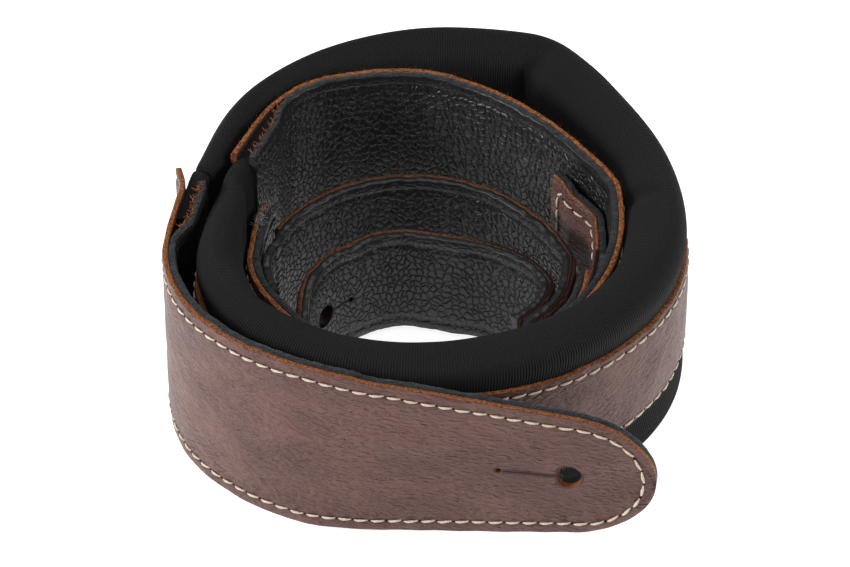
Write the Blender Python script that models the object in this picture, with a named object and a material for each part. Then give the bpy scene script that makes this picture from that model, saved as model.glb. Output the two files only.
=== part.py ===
"""Padded leather guitar strap, rolled into a coil that stands on its edge.

The strap is wound clockwise, seen from above, from the outside in: front tab, pad, rear
piece, tail, and the end tab in the middle. Every length is in metres and Z is up.
"""

import math

import bmesh
import bpy
from mathutils import Matrix, Vector

MM = 0.001

# Coil
COIL_RADIUS = 85 * MM  # how far the wraps stand from the coil's middle at its sides
COIL_MIDDLE_Y = -12 * MM  # where the coil's middle lies, towards the back
COIL_STEP = 7.5  # degrees between two stations round the coil
FINE_STEP = 2.5  # the same where the short inner ends bend tightly

# Leather
LEATHER = 2.0 * MM  # brown outer leather
LINING = 2.4 * MM  # black pebbled lining
SEWN_GAP = 0.3 * MM  # room between two plies that are sewn together
WRAP_GAP = 0.45 * MM  # least room between two wraps
PLY = LEATHER + SEWN_GAP + LINING

# Thread
THREAD_WIDTH = 0.8 * MM
THREAD_RISE = 0.5 * MM
THREAD_GAP = 0.2 * MM
THREAD_INSET = 4.5 * MM  # from the leather's edge
THREAD_TOP = THREAD_GAP + THREAD_RISE

# Front tab
TAB_MIDDLE_Z = 33 * MM
TAB_WIDTH = 64.5 * MM
TAB_TIP_WIDTH = 41 * MM  # where the two slanted sides would meet the tip
TAB_TAPER = 0.213  # width lost for each unit of length towards the tip
TAB_TIP_LENGTH = 26 * MM  # length of the rounded tip
TAB_FLAT_LENGTH = 83 * MM  # the straight stretch that leaves the coil
TAB_LEAVES = 8.0  # degrees, where the straight stretch leaves the coil
TAB_SHAPE = ((0, 0.918), (10, 0.924), (20, 0.935), (29, 0.954), (47, 0.99), (65, 1.012),
             (80, 0.998), (90, 0.972), (100, 0.962), (105, 0.97), (110, 1.02))
TAB_MOUTH = (84.0, 94.0)  # degrees, where the two plies start to part and are apart
TAB_LEATHER_END = 110.0
TAB_LINING_END = 105.5
TONGUE = 4.0 * MM  # the flat end of the pad, sewn between the plies
TONGUE_SPAN = (93.5, 105.0)
TAB_HINGE = 106.0

# Button holes
HOLE_RADIUS = 4.1 * MM
HOLE_FROM_TIP = 27 * MM
SLIT_LENGTH = 22 * MM  # from the middle of the hole to the middle of the relief hole
SLIT_WIDTH = 0.5 * MM
RELIEF_RADIUS = 1.0 * MM

# Pad
PAD_THICKNESS = 13 * MM
PAD_HEIGHT = 66 * MM
PAD_COVER = 1.1 * MM
PAD_TONGUE_INSET = 3.5 * MM  # how much lower and shorter the flat ends are
PAD_SPAN = (107.5, 492.0)
FOAM_SPAN = (120.0, 465.0)
PAD_FILLS = (107, 135)  # degrees, over which the flat front end rises to the full height
PAD_EMPTIES = (452, 481)
PAD_NEAR_TAB = 440  # past this the pad's second pass lies inside the front tab
PAD_TO_MOUTH = (468, 478)  # degrees, over which it meets the rear piece's mouth
PAD_SHAPE = ((107, 0.945), (121, 0.982), (144, 1.125), (163, 1.235), (180, 1.305),
             (190, 1.322), (197, 1.335), (201, 1.342), (204, 1.322), (210, 1.262),
             (222, 1.15), (238, 1.06), (255, 1.0), (285, 0.948),
             (315, 0.882), (345, 0.833), (367, 0.826), (390, 0.853), (412, 0.882),
             (432, 0.871), (450, 0.829), (464, 0.809), (481, 0.842), (495, 0.9))
PAD_FLAT = TONGUE / PAD_THICKNESS  # its thickness at its flat ends, as a share of the full
PAD_FULLNESS = ((107, PAD_FLAT), (121, 0.5), (144, 0.62), (160, 0.8), (175, 1.0), (425, 1.0),
                (441, 0.85), (452, 0.7), (465, 0.5), (478, PAD_FLAT), (495, PAD_FLAT))

# Brown strip sewn on the pad
STRIP_WIDTH = 37.5 * MM
STRIP_MIDDLE_Z = 34.3 * MM
STRIP_SPAN = (112.5, 472.5)
STRIP_THREAD_INSET = 3.2 * MM

# Rear piece
REAR_SPAN = (481.0, 845.0)
REAR_JOINED = (492.5, 507.5)  # degrees, over which its two plies come together
REAR_BOTTOM = 0.5 * MM
REAR_TOP = ((481, 64.5), (590, 64.5), (636, 61), (661, 56), (700, 52), (845, 44))
REAR_SHAPE = ((481, 0.876), (490, 0.912), (504, 1.0), (514, 1.041), (523, 1.035),
              (539, 1.012), (552, 0.945), (570, 0.855), (588, 0.8), (608, 0.8),
              (640, 0.808), (661, 0.756), (690, 0.682), (720, 0.641), (760, 0.606),
              (785, 0.609), (801, 0.647), (814, 0.682), (827, 0.706), (845, 0.774))

# Tail, with its end folded back outwards
TAIL_SPAN = (802.0, 1023.0)
TAIL_LEATHER_START = 838.0
TAIL_SPLIT = 984.0  # degrees, where the folded end is free to bend
TAIL_END = 946.0
TAIL_THREAD_SPAN = (842.0, 980.0)
TAIL_BARE_END = 830  # up to here only the tail's lining lies against the rear piece
TAIL_MEETS_FOLD = 970
FOLD_CLIMB = 3.5 * MM  # how far the strap rises as it folds back
FOLD_CLIMB_START = 1010
FOLD_PLY = 1.05  # a ply's thickness where the folded end slants across its ray
TAIL_PLY = 1.02  # the same for the tail next to it
LEAD_IN = 2  # degrees by which a wrap makes room before its neighbour starts
TAIL_WIDTH = 43 * MM
TAIL_BOTTOM = 0.3 * MM
TAIL_SHAPE = ((802, 0.612), (814, 0.645), (838, 0.661), (874, 0.671), (897, 0.659),
              (916, 0.635), (950, 0.592), (990, 0.594), (1023, 0.559))
TAIL_END_SHAPE = ((943, 0.705), (949, 0.68), (956, 0.66), (962, 0.668), (973, 0.69),
                  (990, 0.675), (1023, 0.621))
TAIL_END_TOP = ((942, 54.5), (965, 52), (990, 50), (1023, 47))

# Keeper, the short strap end inside the fold
KEEPER_SPAN = (985.5, 1015.0)
KEEPER_TOP = 43 * MM

# End tab, innermost
END_SPAN = (68.0, 303.0)
END_SPLIT = 135.0
END_WIDTH = 41 * MM
END_TIP_LENGTH = 20 * MM
END_HOLE_FROM_TIP = 28 * MM
END_SLIT_LENGTH = 12 * MM
END_SHAPE = ((68, 0.529), (82, 0.494), (100, 0.459), (117, 0.424), (132, 0.388),
             (153, 0.371), (197, 0.318), (231, 0.382), (253, 0.453), (268, 0.5),
             (285, 0.52), (303, 0.506))

FLAP_GAP = 0.4  # half the gap between a flap and its strap, in degrees
LEATHER_BROWN = (0.16, 0.07, 0.05)
LINING_BLACK = (0.02, 0.02, 0.022)
KNIT_BLACK = (0.012, 0.012, 0.014)
FOAM_GREY = (0.25, 0.25, 0.26)
THREAD_CREAM = (0.75, 0.68, 0.58)


# ---------------------------------------------------------------- curves

def smooth(table, t):
    """A smooth value through the table's points, flat beyond its ends."""
    if t <= table[0][0]:
        return table[0][1]
    if t >= table[-1][0]:
        return table[-1][1]
    i = max(k for k in range(len(table) - 1) if table[k][0] <= t)
    slopes = [(table[k + 1][1] - table[k][1]) / (table[k + 1][0] - table[k][0])
              for k in range(len(table) - 1)]
    start = slopes[i] if i == 0 else (slopes[i - 1] + slopes[i]) / 2
    end = slopes[i] if i == len(slopes) - 1 else (slopes[i] + slopes[i + 1]) / 2
    span = table[i + 1][0] - table[i][0]
    u = (t - table[i][0]) / span
    return (table[i][1] * (2 * u**3 - 3 * u**2 + 1) + start * span * (u**3 - 2 * u**2 + u)
            + table[i + 1][1] * (3 * u**2 - 2 * u**3) + end * span * (u**3 - u**2))


def straight(table, t):
    """A value on the straight lines through the table's points."""
    if t <= table[0][0]:
        return table[0][1]
    for (a, low), (b, high) in zip(table, table[1:]):
        if t <= b:
            return low + (high - low) * (t - a) / (b - a)
    return table[-1][1]


def ease(a, b, t):
    """From 0 at a to 1 at b, level at both ends."""
    u = min(1.0, max(0.0, (t - a) / (b - a)))
    return u * u * (3 - 2 * u)


def steepness(radius, t):
    """How much longer a ply's thickness is along the ray than square to the wrap."""
    d = 1.0
    change = (radius(t + d) - radius(t - d)) / math.radians(2 * d)
    return math.sqrt(1 + (change / radius(t)) ** 2)


def inner(radius, thickness, t):
    """The radius of a wrap's inner face."""
    return radius(t) - thickness * steepness(radius, t)


# The wraps, from the outside in. Each one is held inside the one before it.

def pad_thickness(t):
    """The pad's thickness with its flat ends."""
    return PAD_THICKNESS * max(PAD_FLAT, smooth(PAD_FULLNESS, t))


def pad_radius(t):
    """The outer face of the pad's cover."""
    r = smooth(PAD_SHAPE, t) * COIL_RADIUS
    if t > PAD_NEAR_TAB:
        room = tab_radius(min(t - 360, TAB_LINING_END)) - PLY - TONGUE - SEWN_GAP
        if t - 360 <= TAB_LINING_END + 4:
            r = min(r, room - WRAP_GAP - strip_rise())
    if t > PAD_TO_MOUTH[0]:
        held = max(t, REAR_SPAN[0])
        under = rear_radius(held) - (LEATHER + SEWN_GAP) * steepness(rear_radius, held)
        r += (under - r) * ease(*PAD_TO_MOUTH, t)
    return r


def strip_rise():
    """How far the sewn strip and its thread stand out from the pad."""
    return SEWN_GAP + LEATHER + THREAD_TOP


def tab_radius(t):
    """The brown face of the front tab, kept clear of the pad's second pass."""
    r = smooth(TAB_SHAPE, t) * COIL_RADIUS
    if t < 80:
        pad = smooth(PAD_SHAPE, t + 360) * COIL_RADIUS
        r = max(r, pad + strip_rise() + WRAP_GAP + PLY)
    return r


def rear_radius(t):
    """The brown face of the rear piece."""
    ceiling = pad_radius(t - 360) - pad_thickness(t - 360) - WRAP_GAP - THREAD_TOP
    return min(smooth(REAR_SHAPE, t) * COIL_RADIUS, ceiling)


def rear_inner(t):
    """The inner face of the rear piece's lining."""
    return inner(rear_radius, PLY, t)


def fold_radius(t):
    """The brown face of the folded end, which looks towards the coil's middle."""
    ceiling = rear_inner(t - 360) - WRAP_GAP - PLY * FOLD_PLY
    return min(smooth(TAIL_END_SHAPE, t) * COIL_RADIUS, ceiling)


def tail_radius(t):
    """The brown face of the tail."""
    r = smooth(TAIL_SHAPE, t) * COIL_RADIUS
    if t < TAIL_BARE_END:
        return min(r, rear_inner(t) - WRAP_GAP + LEATHER)
    if t <= REAR_SPAN[1]:
        return min(r, rear_inner(t) - WRAP_GAP - THREAD_TOP)
    r = min(r, rear_inner(t - 360) - WRAP_GAP - THREAD_TOP)
    if t >= TAIL_END - LEAD_IN:
        r = min(r, fold_radius(t) - WRAP_GAP - 2 * THREAD_TOP)
    if t >= TAIL_MEETS_FOLD:
        share = ease(TAIL_MEETS_FOLD, TAIL_SPLIT, t)
        room = fold_radius(t) - 2 * SEWN_GAP - PLY * TAIL_PLY
        r = r + (min(r, room) - r) * share
    return r


def keeper_radius(t):
    """The brown face of the keeper, between the tail and its folded end."""
    return fold_radius(t) - SEWN_GAP


def end_radius(t):
    """The brown face of the end tab."""
    r = smooth(END_SHAPE, t) * COIL_RADIUS
    around = t + 720
    r = min(r, rear_inner(around) - WRAP_GAP - THREAD_TOP)
    if around >= TAIL_SPAN[0] - LEAD_IN:
        r = min(r, inner(tail_radius, PLY, around) - WRAP_GAP - THREAD_TOP)
    return r


def on_coil(t, r):
    """The plan point at an angle round the coil, clockwise from the front."""
    a = math.radians(t)
    return (-r * math.sin(a), COIL_MIDDLE_Y - r * math.cos(a))


class Path:
    """A strap's line in plan. Offsets are towards its brown face."""

    def __init__(self, stations):
        self.stations = stations
        self.along = [0.0]
        for a, b in zip(stations, stations[1:]):
            self.along.append(self.along[-1] + math.dist(a[0], b[0]))
        self.length = self.along[-1]

    def at(self, s, z, h):
        """The point at a length along the path, a height, and an offset from its face."""
        i = max(0, min(len(self.along) - 2, sum(1 for a in self.along if a <= s) - 1))
        u = (s - self.along[i]) / (self.along[i + 1] - self.along[i])
        (p, n), (q, m) = self.stations[i], self.stations[i + 1]
        x = p[0] + h * n[0] + u * (q[0] + h * m[0] - p[0] - h * n[0])
        y = p[1] + h * n[1] + u * (q[1] + h * m[1] - p[1] - h * n[1])
        return (x, y, z)

    def spots(self, a, b):
        """The path's own stations between two lengths, and the two ends."""
        least = 0.2 * MM
        inside = [s for s in self.along if a + least < s < b - least]
        return [a, *inside, b]


def angles(a, b, step):
    """Every multiple of step between two angles, and the two ends."""
    first = math.ceil((a + 0.2) / step)
    last = math.floor((b - 0.2) / step)
    return [a, *(k * step for k in range(first, last + 1)), b]


def coil_stations(radius, a, b, step=COIL_STEP):
    """Stations on the rays of the coil, so neighbouring wraps stay in order."""
    made = []
    for t in angles(a, b, step):
        k = steepness(radius, t)
        ray = on_coil(t, 1.0)
        out = (ray[0] * k, (ray[1] - COIL_MIDDLE_Y) * k)
        made.append((on_coil(t, radius(t)), out))
    return made


def coil_path(radius, a, b, step=COIL_STEP):
    return Path(coil_stations(radius, a, b, step))


def backwards(stations):
    """The same stations walked the other way, with the offsets turned over."""
    return [(p, (-n[0], -n[1])) for p, n in reversed(stations)]


# ---------------------------------------------------------------- solids

def add(name, vertices, faces, colour, roughness=0.7):
    """A named closed body with its own material."""
    mesh = bpy.data.meshes.new(name)
    mesh.from_pydata(vertices, [], faces)
    body = bmesh.new()
    body.from_mesh(mesh)
    bmesh.ops.remove_doubles(body, verts=body.verts, dist=1e-7)
    bmesh.ops.recalc_face_normals(body, faces=body.faces)
    if body.calc_volume(signed=True) < 0:
        bmesh.ops.reverse_faces(body, faces=body.faces)
    body.to_mesh(mesh)
    body.free()
    mesh.shade_smooth()
    mesh.set_sharp_from_angle(angle=math.radians(35))
    item = bpy.data.objects.new(name, mesh)
    bpy.context.scene.collection.objects.link(item)
    material = bpy.data.materials.new(name + "_finish")
    material.use_nodes = True
    shader = material.node_tree.nodes["Principled BSDF"]
    shader.inputs["Base Color"].default_value = (*colour, 1)
    shader.inputs["Roughness"].default_value = roughness
    mesh.materials.append(material)
    return item


def rings(loops, closed=False):
    """Faces that join loops of the same count, with a cap at each end if open."""
    n = len(loops[0])
    vertices = [p for loop in loops for p in loop]
    faces = []
    count = len(loops)
    for i in range(count if closed else count - 1):
        j = (i + 1) % count
        for k in range(n):
            m = (k + 1) % n
            faces.append((i * n + k, i * n + m, j * n + m, j * n + k))
    if not closed:
        faces.append(tuple(range(n)))
        faces.append(tuple((count - 1) * n + k for k in reversed(range(n))))
    return vertices, faces


def ply(name, path, spots, bottom, top, face, back, colour):
    """One ply of a strap between two offsets; bottom, top, face and back are functions."""
    loops = []
    for s in spots:
        low, high, h, g = bottom(s), top(s), face(s), back(s)
        loops.append([path.at(s, low, h), path.at(s, high, h),
                      path.at(s, high, g), path.at(s, low, g)])
    vertices, faces = rings(loops)
    return add(name, vertices, faces, colour)


def fixed(value):
    return lambda s: value


def strand(name, path, route, closed=False):
    """A line of thread on a strap's brown face; route is (length, height) points."""
    loops = []
    n = len(route)
    for i, (s, z) in enumerate(route):
        before = route[i - 1] if i > 0 or closed else route[i]
        after = route[(i + 1) % n] if i < n - 1 or closed else route[i]
        ds, dz = after[0] - before[0], after[1] - before[1]
        size = math.hypot(ds, dz)
        a, b = -dz / size * THREAD_WIDTH / 2, ds / size * THREAD_WIDTH / 2
        loops.append([path.at(s - a, z - b, THREAD_GAP), path.at(s + a, z + b, THREAD_GAP),
                      path.at(s + a, z + b, THREAD_TOP), path.at(s - a, z - b, THREAD_TOP)])
    vertices, faces = rings(loops, closed)
    return add(name, vertices, faces, THREAD_CREAM)


def cut(item, cutter):
    """Cut one body out of another."""
    step = item.modifiers.new("opening", "BOOLEAN")
    step.operation = "DIFFERENCE"
    step.solver = "EXACT"
    step.object = cutter


def keyhole(name, origin, along, out, slit):
    """A cutter for a button hole, with its slit and the small hole at the slit's end."""
    outline = []
    gap = math.asin(SLIT_WIDTH / 2 / HOLE_RADIUS)
    for k in range(17):
        a = gap + (2 * math.pi - 2 * gap) * k / 16
        outline.append((HOLE_RADIUS * math.cos(a), HOLE_RADIUS * math.sin(a)))
    gap = math.asin(SLIT_WIDTH / 2 / RELIEF_RADIUS)
    for k in range(9):
        a = math.pi + gap + (2 * math.pi - 2 * gap) * k / 8
        outline.append((slit + RELIEF_RADIUS * math.cos(a),
                        RELIEF_RADIUS * math.sin(a)))
    depth = 9 * MM
    loops = []
    for d in (-depth, depth):
        loops.append([(origin[0] + along[0] * u + out[0] * d,
                       origin[1] + along[1] * u + out[1] * d,
                       origin[2] + v) for u, v in outline])
    vertices, faces = rings(loops)
    cutter = add(name, vertices, faces, LINING_BLACK)
    cutter.hide_render = True
    cutter.display_type = "WIRE"
    return cutter


def hinge_at(items, x, y):
    """Put the origin of a moving piece on its bending line."""
    for item in items:
        item.data.transform(Matrix.Translation((-x, -y, 0)))
        item.location = (x, y, 0)


# ---------------------------------------------------------------- front tab

def tab_path():
    """From the tip along the straight stretch, then round the coil to the mouth."""
    leave, out = coil_stations(tab_radius, TAB_LEAVES, TAB_LEAVES + 5)[0]
    a = math.radians(TAB_LEAVES)
    along = (math.cos(a), -math.sin(a))
    face = (-math.sin(a), -math.cos(a))
    stations = []
    pieces = 12
    for k in range(pieces):
        d = TAB_FLAT_LENGTH * (1 - k / pieces)
        stations.append(((leave[0] + along[0] * d, leave[1] + along[1] * d), face))
    wrap = coil_stations(tab_radius, TAB_LEAVES, TAB_MOUTH[0])
    mouth = coil_stations(tab_radius, TAB_MOUTH[0], TAB_LEATHER_END, FINE_STEP)
    stations += [(leave, face), *wrap[1:], *mouth[1:]]
    return Path(stations)


def tab_half(s):
    """Half the tab's width at a length from its tip."""
    wide = min(TAB_WIDTH, TAB_TIP_WIDTH + TAB_TAPER * s)
    if s >= TAB_TIP_LENGTH:
        return wide / 2
    u = 1 - s / TAB_TIP_LENGTH
    return wide / 2 * math.sqrt(max(0.004, 1 - u * u))


def tab_length_at(path, t):
    """The length along the tab's path at an angle round the coil."""
    target = on_coil(t, tab_radius(t))
    best = min(range(400), key=lambda k: math.dist(
        path.at(path.length * (0.3 + 0.7 * k / 399), 0, 0)[:2], target))
    return path.length * (0.3 + 0.7 * best / 399)


def tip_spots(length):
    """Lengths that are closer together towards a rounded tip."""
    return [length * (1 - math.cos(math.radians(90 * k / 9))) for k in range(1, 9)]


def front_tab():
    path = tab_path()
    low = lambda s: TAB_MIDDLE_Z - tab_half(s)
    high = lambda s: TAB_MIDDLE_Z + tab_half(s)
    start = [0.0, *tip_spots(TAB_TIP_LENGTH)]
    parts, apart = (tab_length_at(path, t) for t in TAB_MOUTH)
    lining_end = tab_length_at(path, TAB_LINING_END)
    opened = lambda s: -(LEATHER + SEWN_GAP) - (TONGUE + SEWN_GAP) * ease(parts, apart, s)
    body = path.spots(TAB_TIP_LENGTH, path.length)
    leather = ply("front_tab_leather", path, start + body, low, high,
                  fixed(0), fixed(-LEATHER), LEATHER_BROWN)
    body = path.spots(TAB_TIP_LENGTH, lining_end)
    lining = ply("front_tab_lining", path, start + body, low, high,
                 opened, lambda s: opened(s) - LINING, LINING_BLACK)
    tongue_from, tongue_to = (tab_length_at(path, t) for t in TONGUE_SPAN)
    face = -(LEATHER + SEWN_GAP)
    tongue = ply("front_pad_tongue", path, path.spots(tongue_from, tongue_to),
                 fixed(PAD_TONGUE_INSET), fixed(PAD_HEIGHT - PAD_TONGUE_INSET),
                 fixed(face), fixed(face - TONGUE + SEWN_GAP), KNIT_BLACK)
    thread = strand("front_tab_thread", path, tab_route(path))
    hole = path.at(HOLE_FROM_TIP, TAB_MIDDLE_Z, 0)
    a = math.radians(TAB_LEAVES)
    cutter = keyhole("front_button_cutter", hole, (-math.cos(a), math.sin(a)),
                     (-math.sin(a), -math.cos(a)), SLIT_LENGTH)
    cut(leather, cutter)
    cut(lining, cutter)
    x, y = on_coil(TAB_HINGE, tab_radius(TAB_HINGE) - LEATHER - SEWN_GAP)
    hinge_at((leather, lining, tongue, thread), x, y)


def tab_route(path):
    """The thread's way along the lower edge, round the tip and back along the upper."""
    end = tab_length_at(path, 103.0)
    side = path.spots(TAB_TIP_LENGTH, end)
    lower = [(s, TAB_MIDDLE_Z - tab_half(s) + THREAD_INSET) for s in side]
    upper = [(s, TAB_MIDDLE_Z + tab_half(s) - THREAD_INSET) for s in side]
    tip = []
    half = tab_half(TAB_TIP_LENGTH) - THREAD_INSET
    reach = TAB_TIP_LENGTH - THREAD_INSET
    for k in range(1, 18):
        a = math.pi * k / 18
        tip.append((TAB_TIP_LENGTH - reach * math.sin(a),
                    TAB_MIDDLE_Z - half * math.cos(a)))
    return lower[::-1] + tip + upper


# ---------------------------------------------------------------- pad

def pad_inset(t):
    """How much lower the pad is at its flat ends."""
    full = ease(*PAD_FILLS, t) * (1 - ease(*PAD_EMPTIES, t))
    return PAD_TONGUE_INSET * (1 - full)


def pad_section(t, skin):
    """One closed section of the pad, a distance inside its cover's face."""
    r, thick = pad_radius(t), pad_thickness(t) - 2 * skin
    k = steepness(pad_radius, t)
    low, high = pad_inset(t) + skin, PAD_HEIGHT - pad_inset(t) - skin
    half = thick / 2
    middle = r - (skin + half) * k
    points = []
    for side, level in ((1, high - half), (-1, low + half)):
        for j in range(5):
            a = math.pi * j / 4
            out = half * math.cos(a) * side * k
            up = half * math.sin(a) * side
            x, y = on_coil(t, middle + out)
            points.append((x, y, level + up))
    return points


def pad_cover():
    """The knitted sleeve, open at its two flat ends."""
    turns = angles(*PAD_SPAN, COIL_STEP)
    outside = [pad_section(t, 0) for t in turns]
    inside = [pad_section(t, PAD_COVER) for t in turns]
    loops = outside + inside[::-1]
    vertices, faces = rings(loops, closed=True)
    add("pad_cover", vertices, faces, KNIT_BLACK, 0.95)


def pad_foam():
    turns = angles(*FOAM_SPAN, COIL_STEP)
    vertices, faces = rings([pad_section(t, PAD_COVER + SEWN_GAP) for t in turns])
    add("pad_foam", vertices, faces, FOAM_GREY, 0.95)


def pad_strip():
    """The brown strip along the pad's outer face, with a line of thread at each edge."""
    path = coil_path(pad_radius, *STRIP_SPAN)
    low = STRIP_MIDDLE_Z - STRIP_WIDTH / 2
    high = STRIP_MIDDLE_Z + STRIP_WIDTH / 2
    lift = Path([((p[0] + n[0] * (SEWN_GAP + LEATHER), p[1] + n[1] * (SEWN_GAP + LEATHER)), n)
                 for p, n in path.stations])
    spots = lift.spots(0, lift.length)
    ply("pad_strip_leather", lift, spots, fixed(low), fixed(high),
        fixed(0), fixed(-LEATHER), LEATHER_BROWN)
    for name, z in (("pad_strip_thread_upper", high - STRIP_THREAD_INSET),
                    ("pad_strip_thread_lower", low + STRIP_THREAD_INSET)):
        strand(name, lift, [(s, z) for s in lift.spots(2 * MM, lift.length - 2 * MM)])


# ---------------------------------------------------------------- rear piece

def rear_piece():
    path = coil_path(rear_radius, *REAR_SPAN)
    turn = turn_of(path, *REAR_SPAN, COIL_STEP)
    top = lambda s: straight(REAR_TOP, turn(s)) * MM
    held = TONGUE + SEWN_GAP
    back = lambda s: -(LEATHER + SEWN_GAP) - held * (1 - ease(*REAR_JOINED, turn(s)))
    spots = path.spots(0, path.length)
    ply("rear_leather", path, spots, fixed(REAR_BOTTOM), top, fixed(0), fixed(-LEATHER),
        LEATHER_BROWN)
    ply("rear_lining", path, spots, fixed(REAR_BOTTOM), top, back,
        lambda s: back(s) - LINING, LINING_BLACK)
    spots = path.spots(5 * MM, path.length - 4 * MM)
    strand("rear_thread_upper", path, [(s, top(s) - THREAD_INSET) for s in spots])
    strand("rear_thread_lower", path, [(s, REAR_BOTTOM + THREAD_INSET) for s in spots])


def turn_of(path, a, b, step):
    """The angle round the coil at a length along a coil path."""
    marks = list(zip(path.along, angles(a, b, step)))
    return lambda s: straight(marks, s)


# ---------------------------------------------------------------- tail

def tail_path():
    """Along the tail, round the fold, and back along the folded end to the split."""
    out = coil_stations(tail_radius, *TAIL_SPAN, FINE_STEP * 2)
    back = backwards(coil_stations(fold_radius, TAIL_SPLIT + FLAP_GAP, TAIL_SPAN[1],
                                   FINE_STEP * 2))
    near, far = out[-1][0], back[0][0]
    middle = ((near[0] + far[0]) / 2, (near[1] + far[1]) / 2)
    radius = math.dist(near, far) / 2
    start = math.atan2(near[1] - middle[1], near[0] - middle[0])
    bend = []
    for k in range(1, 6):
        a = start + math.pi * k / 6
        side = (math.cos(a), math.sin(a))
        bend.append(((middle[0] + radius * side[0], middle[1] + radius * side[1]),
                     (-side[0], -side[1])))
    return Path(out + bend + back), len(out)


def tail():
    path, count = tail_path()
    turns = angles(*TAIL_SPAN, FINE_STEP * 2)
    marks = list(zip(turns, path.along[:count]))
    length = lambda t: straight(marks, t)
    total = path.length
    climb = lambda s: FOLD_CLIMB * ease(length(FOLD_CLIMB_START), total, s)
    low = lambda s: TAIL_BOTTOM + climb(s)
    high = lambda s: TAIL_BOTTOM + TAIL_WIDTH + climb(s)
    ply("tail_lining", path, path.spots(0, total), low, high,
        fixed(-LEATHER - SEWN_GAP), fixed(-PLY), LINING_BLACK)
    ply("tail_leather", path, path.spots(length(TAIL_LEATHER_START), total), low, high,
        fixed(0), fixed(-LEATHER), LEATHER_BROWN)
    spots = path.spots(*(length(t) for t in TAIL_THREAD_SPAN))
    strand("tail_thread_upper", path, [(s, high(s) - THREAD_INSET) for s in spots])
    strand("tail_thread_lower", path, [(s, low(s) + THREAD_INSET) for s in spots])


def tail_end():
    """The free part of the folded end, which bends in towards the tail."""
    span = (TAIL_END, TAIL_SPLIT - FLAP_GAP)
    stations = backwards(coil_stations(fold_radius, *span, FINE_STEP))
    path = Path(stations)
    turns = angles(*span, FINE_STEP)[::-1]
    marks = list(zip(path.along, turns))
    rising = lambda s: straight(marks, s)
    high = lambda s: smooth(TAIL_END_TOP, rising(s)) * MM
    low = lambda s: high(s) - TAIL_WIDTH - 0.6 * MM
    spots = path.spots(0, path.length)
    leather = ply("tail_end_leather", path, spots, low, high, fixed(0), fixed(-LEATHER),
                  LEATHER_BROWN)
    lining = ply("tail_end_lining", path, spots, low, high,
                 fixed(-LEATHER - SEWN_GAP), fixed(-PLY), LINING_BLACK)
    run = path.spots(1 * MM, path.length - THREAD_INSET)
    route = [(s, high(s) - THREAD_INSET) for s in run]
    route += [(s, low(s) + THREAD_INSET) for s in reversed(run)]
    thread = strand("tail_end_thread", path, route)
    x, y = on_coil(TAIL_SPLIT, fold_radius(TAIL_SPLIT))
    hinge_at((leather, lining, thread), x, y)


def keeper():
    """The short strap end held inside the fold."""
    path = coil_path(keeper_radius, *KEEPER_SPAN, FINE_STEP)
    spots = path.spots(0, path.length)
    ply("keeper_leather", path, spots, fixed(TAIL_BOTTOM), fixed(KEEPER_TOP),
        fixed(0), fixed(-LEATHER), LEATHER_BROWN)
    ply("keeper_lining", path, spots, fixed(TAIL_BOTTOM), fixed(KEEPER_TOP),
        fixed(-LEATHER - SEWN_GAP), fixed(-PLY), LINING_BLACK)


# ---------------------------------------------------------------- end tab

def end_strap():
    """The innermost strap, up to the line where its tip bends."""
    path = coil_path(end_radius, END_SPLIT + FLAP_GAP, END_SPAN[1], FINE_STEP * 2)
    spots = path.spots(0, path.length)
    ply("end_strap_leather", path, spots, fixed(0), fixed(END_WIDTH),
        fixed(0), fixed(-LEATHER), LEATHER_BROWN)
    ply("end_strap_lining", path, spots, fixed(0), fixed(END_WIDTH),
        fixed(-LEATHER - SEWN_GAP), fixed(-PLY), LINING_BLACK)
    spots = path.spots(1 * MM, path.length - 3 * MM)
    for name, z in (("end_strap_thread_upper", END_WIDTH - THREAD_INSET),
                    ("end_strap_thread_lower", THREAD_INSET)):
        strand(name, path, [(s, z) for s in spots])


def end_tab():
    """The rounded tip of the innermost strap, with its button hole."""
    path = coil_path(end_radius, END_SPAN[0], END_SPLIT - FLAP_GAP, FINE_STEP * 2)
    middle = END_WIDTH / 2

    def half(s):
        if s >= END_TIP_LENGTH:
            return middle
        u = 1 - s / END_TIP_LENGTH
        return middle * math.sqrt(max(0.004, 1 - u * u))

    low = lambda s: middle - half(s)
    high = lambda s: middle + half(s)
    spots = [0.0, *tip_spots(END_TIP_LENGTH), *path.spots(END_TIP_LENGTH, path.length)]
    leather = ply("end_tab_leather", path, spots, low, high, fixed(0), fixed(-LEATHER),
                  LEATHER_BROWN)
    lining = ply("end_tab_lining", path, spots, low, high,
                 fixed(-LEATHER - SEWN_GAP), fixed(-PLY), LINING_BLACK)
    reach, rise = END_TIP_LENGTH - THREAD_INSET, middle - THREAD_INSET
    side = path.spots(END_TIP_LENGTH, path.length - 1 * MM)
    route = [(s, THREAD_INSET) for s in reversed(side)]
    for k in range(1, 14):
        a = math.pi * k / 14
        route.append((END_TIP_LENGTH - reach * math.sin(a), middle - rise * math.cos(a)))
    route += [(s, END_WIDTH - THREAD_INSET) for s in side]
    thread = strand("end_tab_thread", path, route)
    here = path.at(END_HOLE_FROM_TIP, middle, 0)
    there = path.at(END_HOLE_FROM_TIP + 4 * MM, middle, 0)
    size = math.dist(here, there)
    along = ((there[0] - here[0]) / size, (there[1] - here[1]) / size)
    cutter = keyhole("end_button_cutter", here, along, (-along[1], along[0]),
                     END_SLIT_LENGTH)
    cut(leather, cutter)
    cut(lining, cutter)
    x, y = on_coil(END_SPLIT, inner(end_radius, PLY, END_SPLIT))
    hinge_at((leather, lining, thread), x, y)


def clear_scene():
    for item in list(bpy.data.objects):
        bpy.data.objects.remove(item, do_unlink=True)


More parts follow.
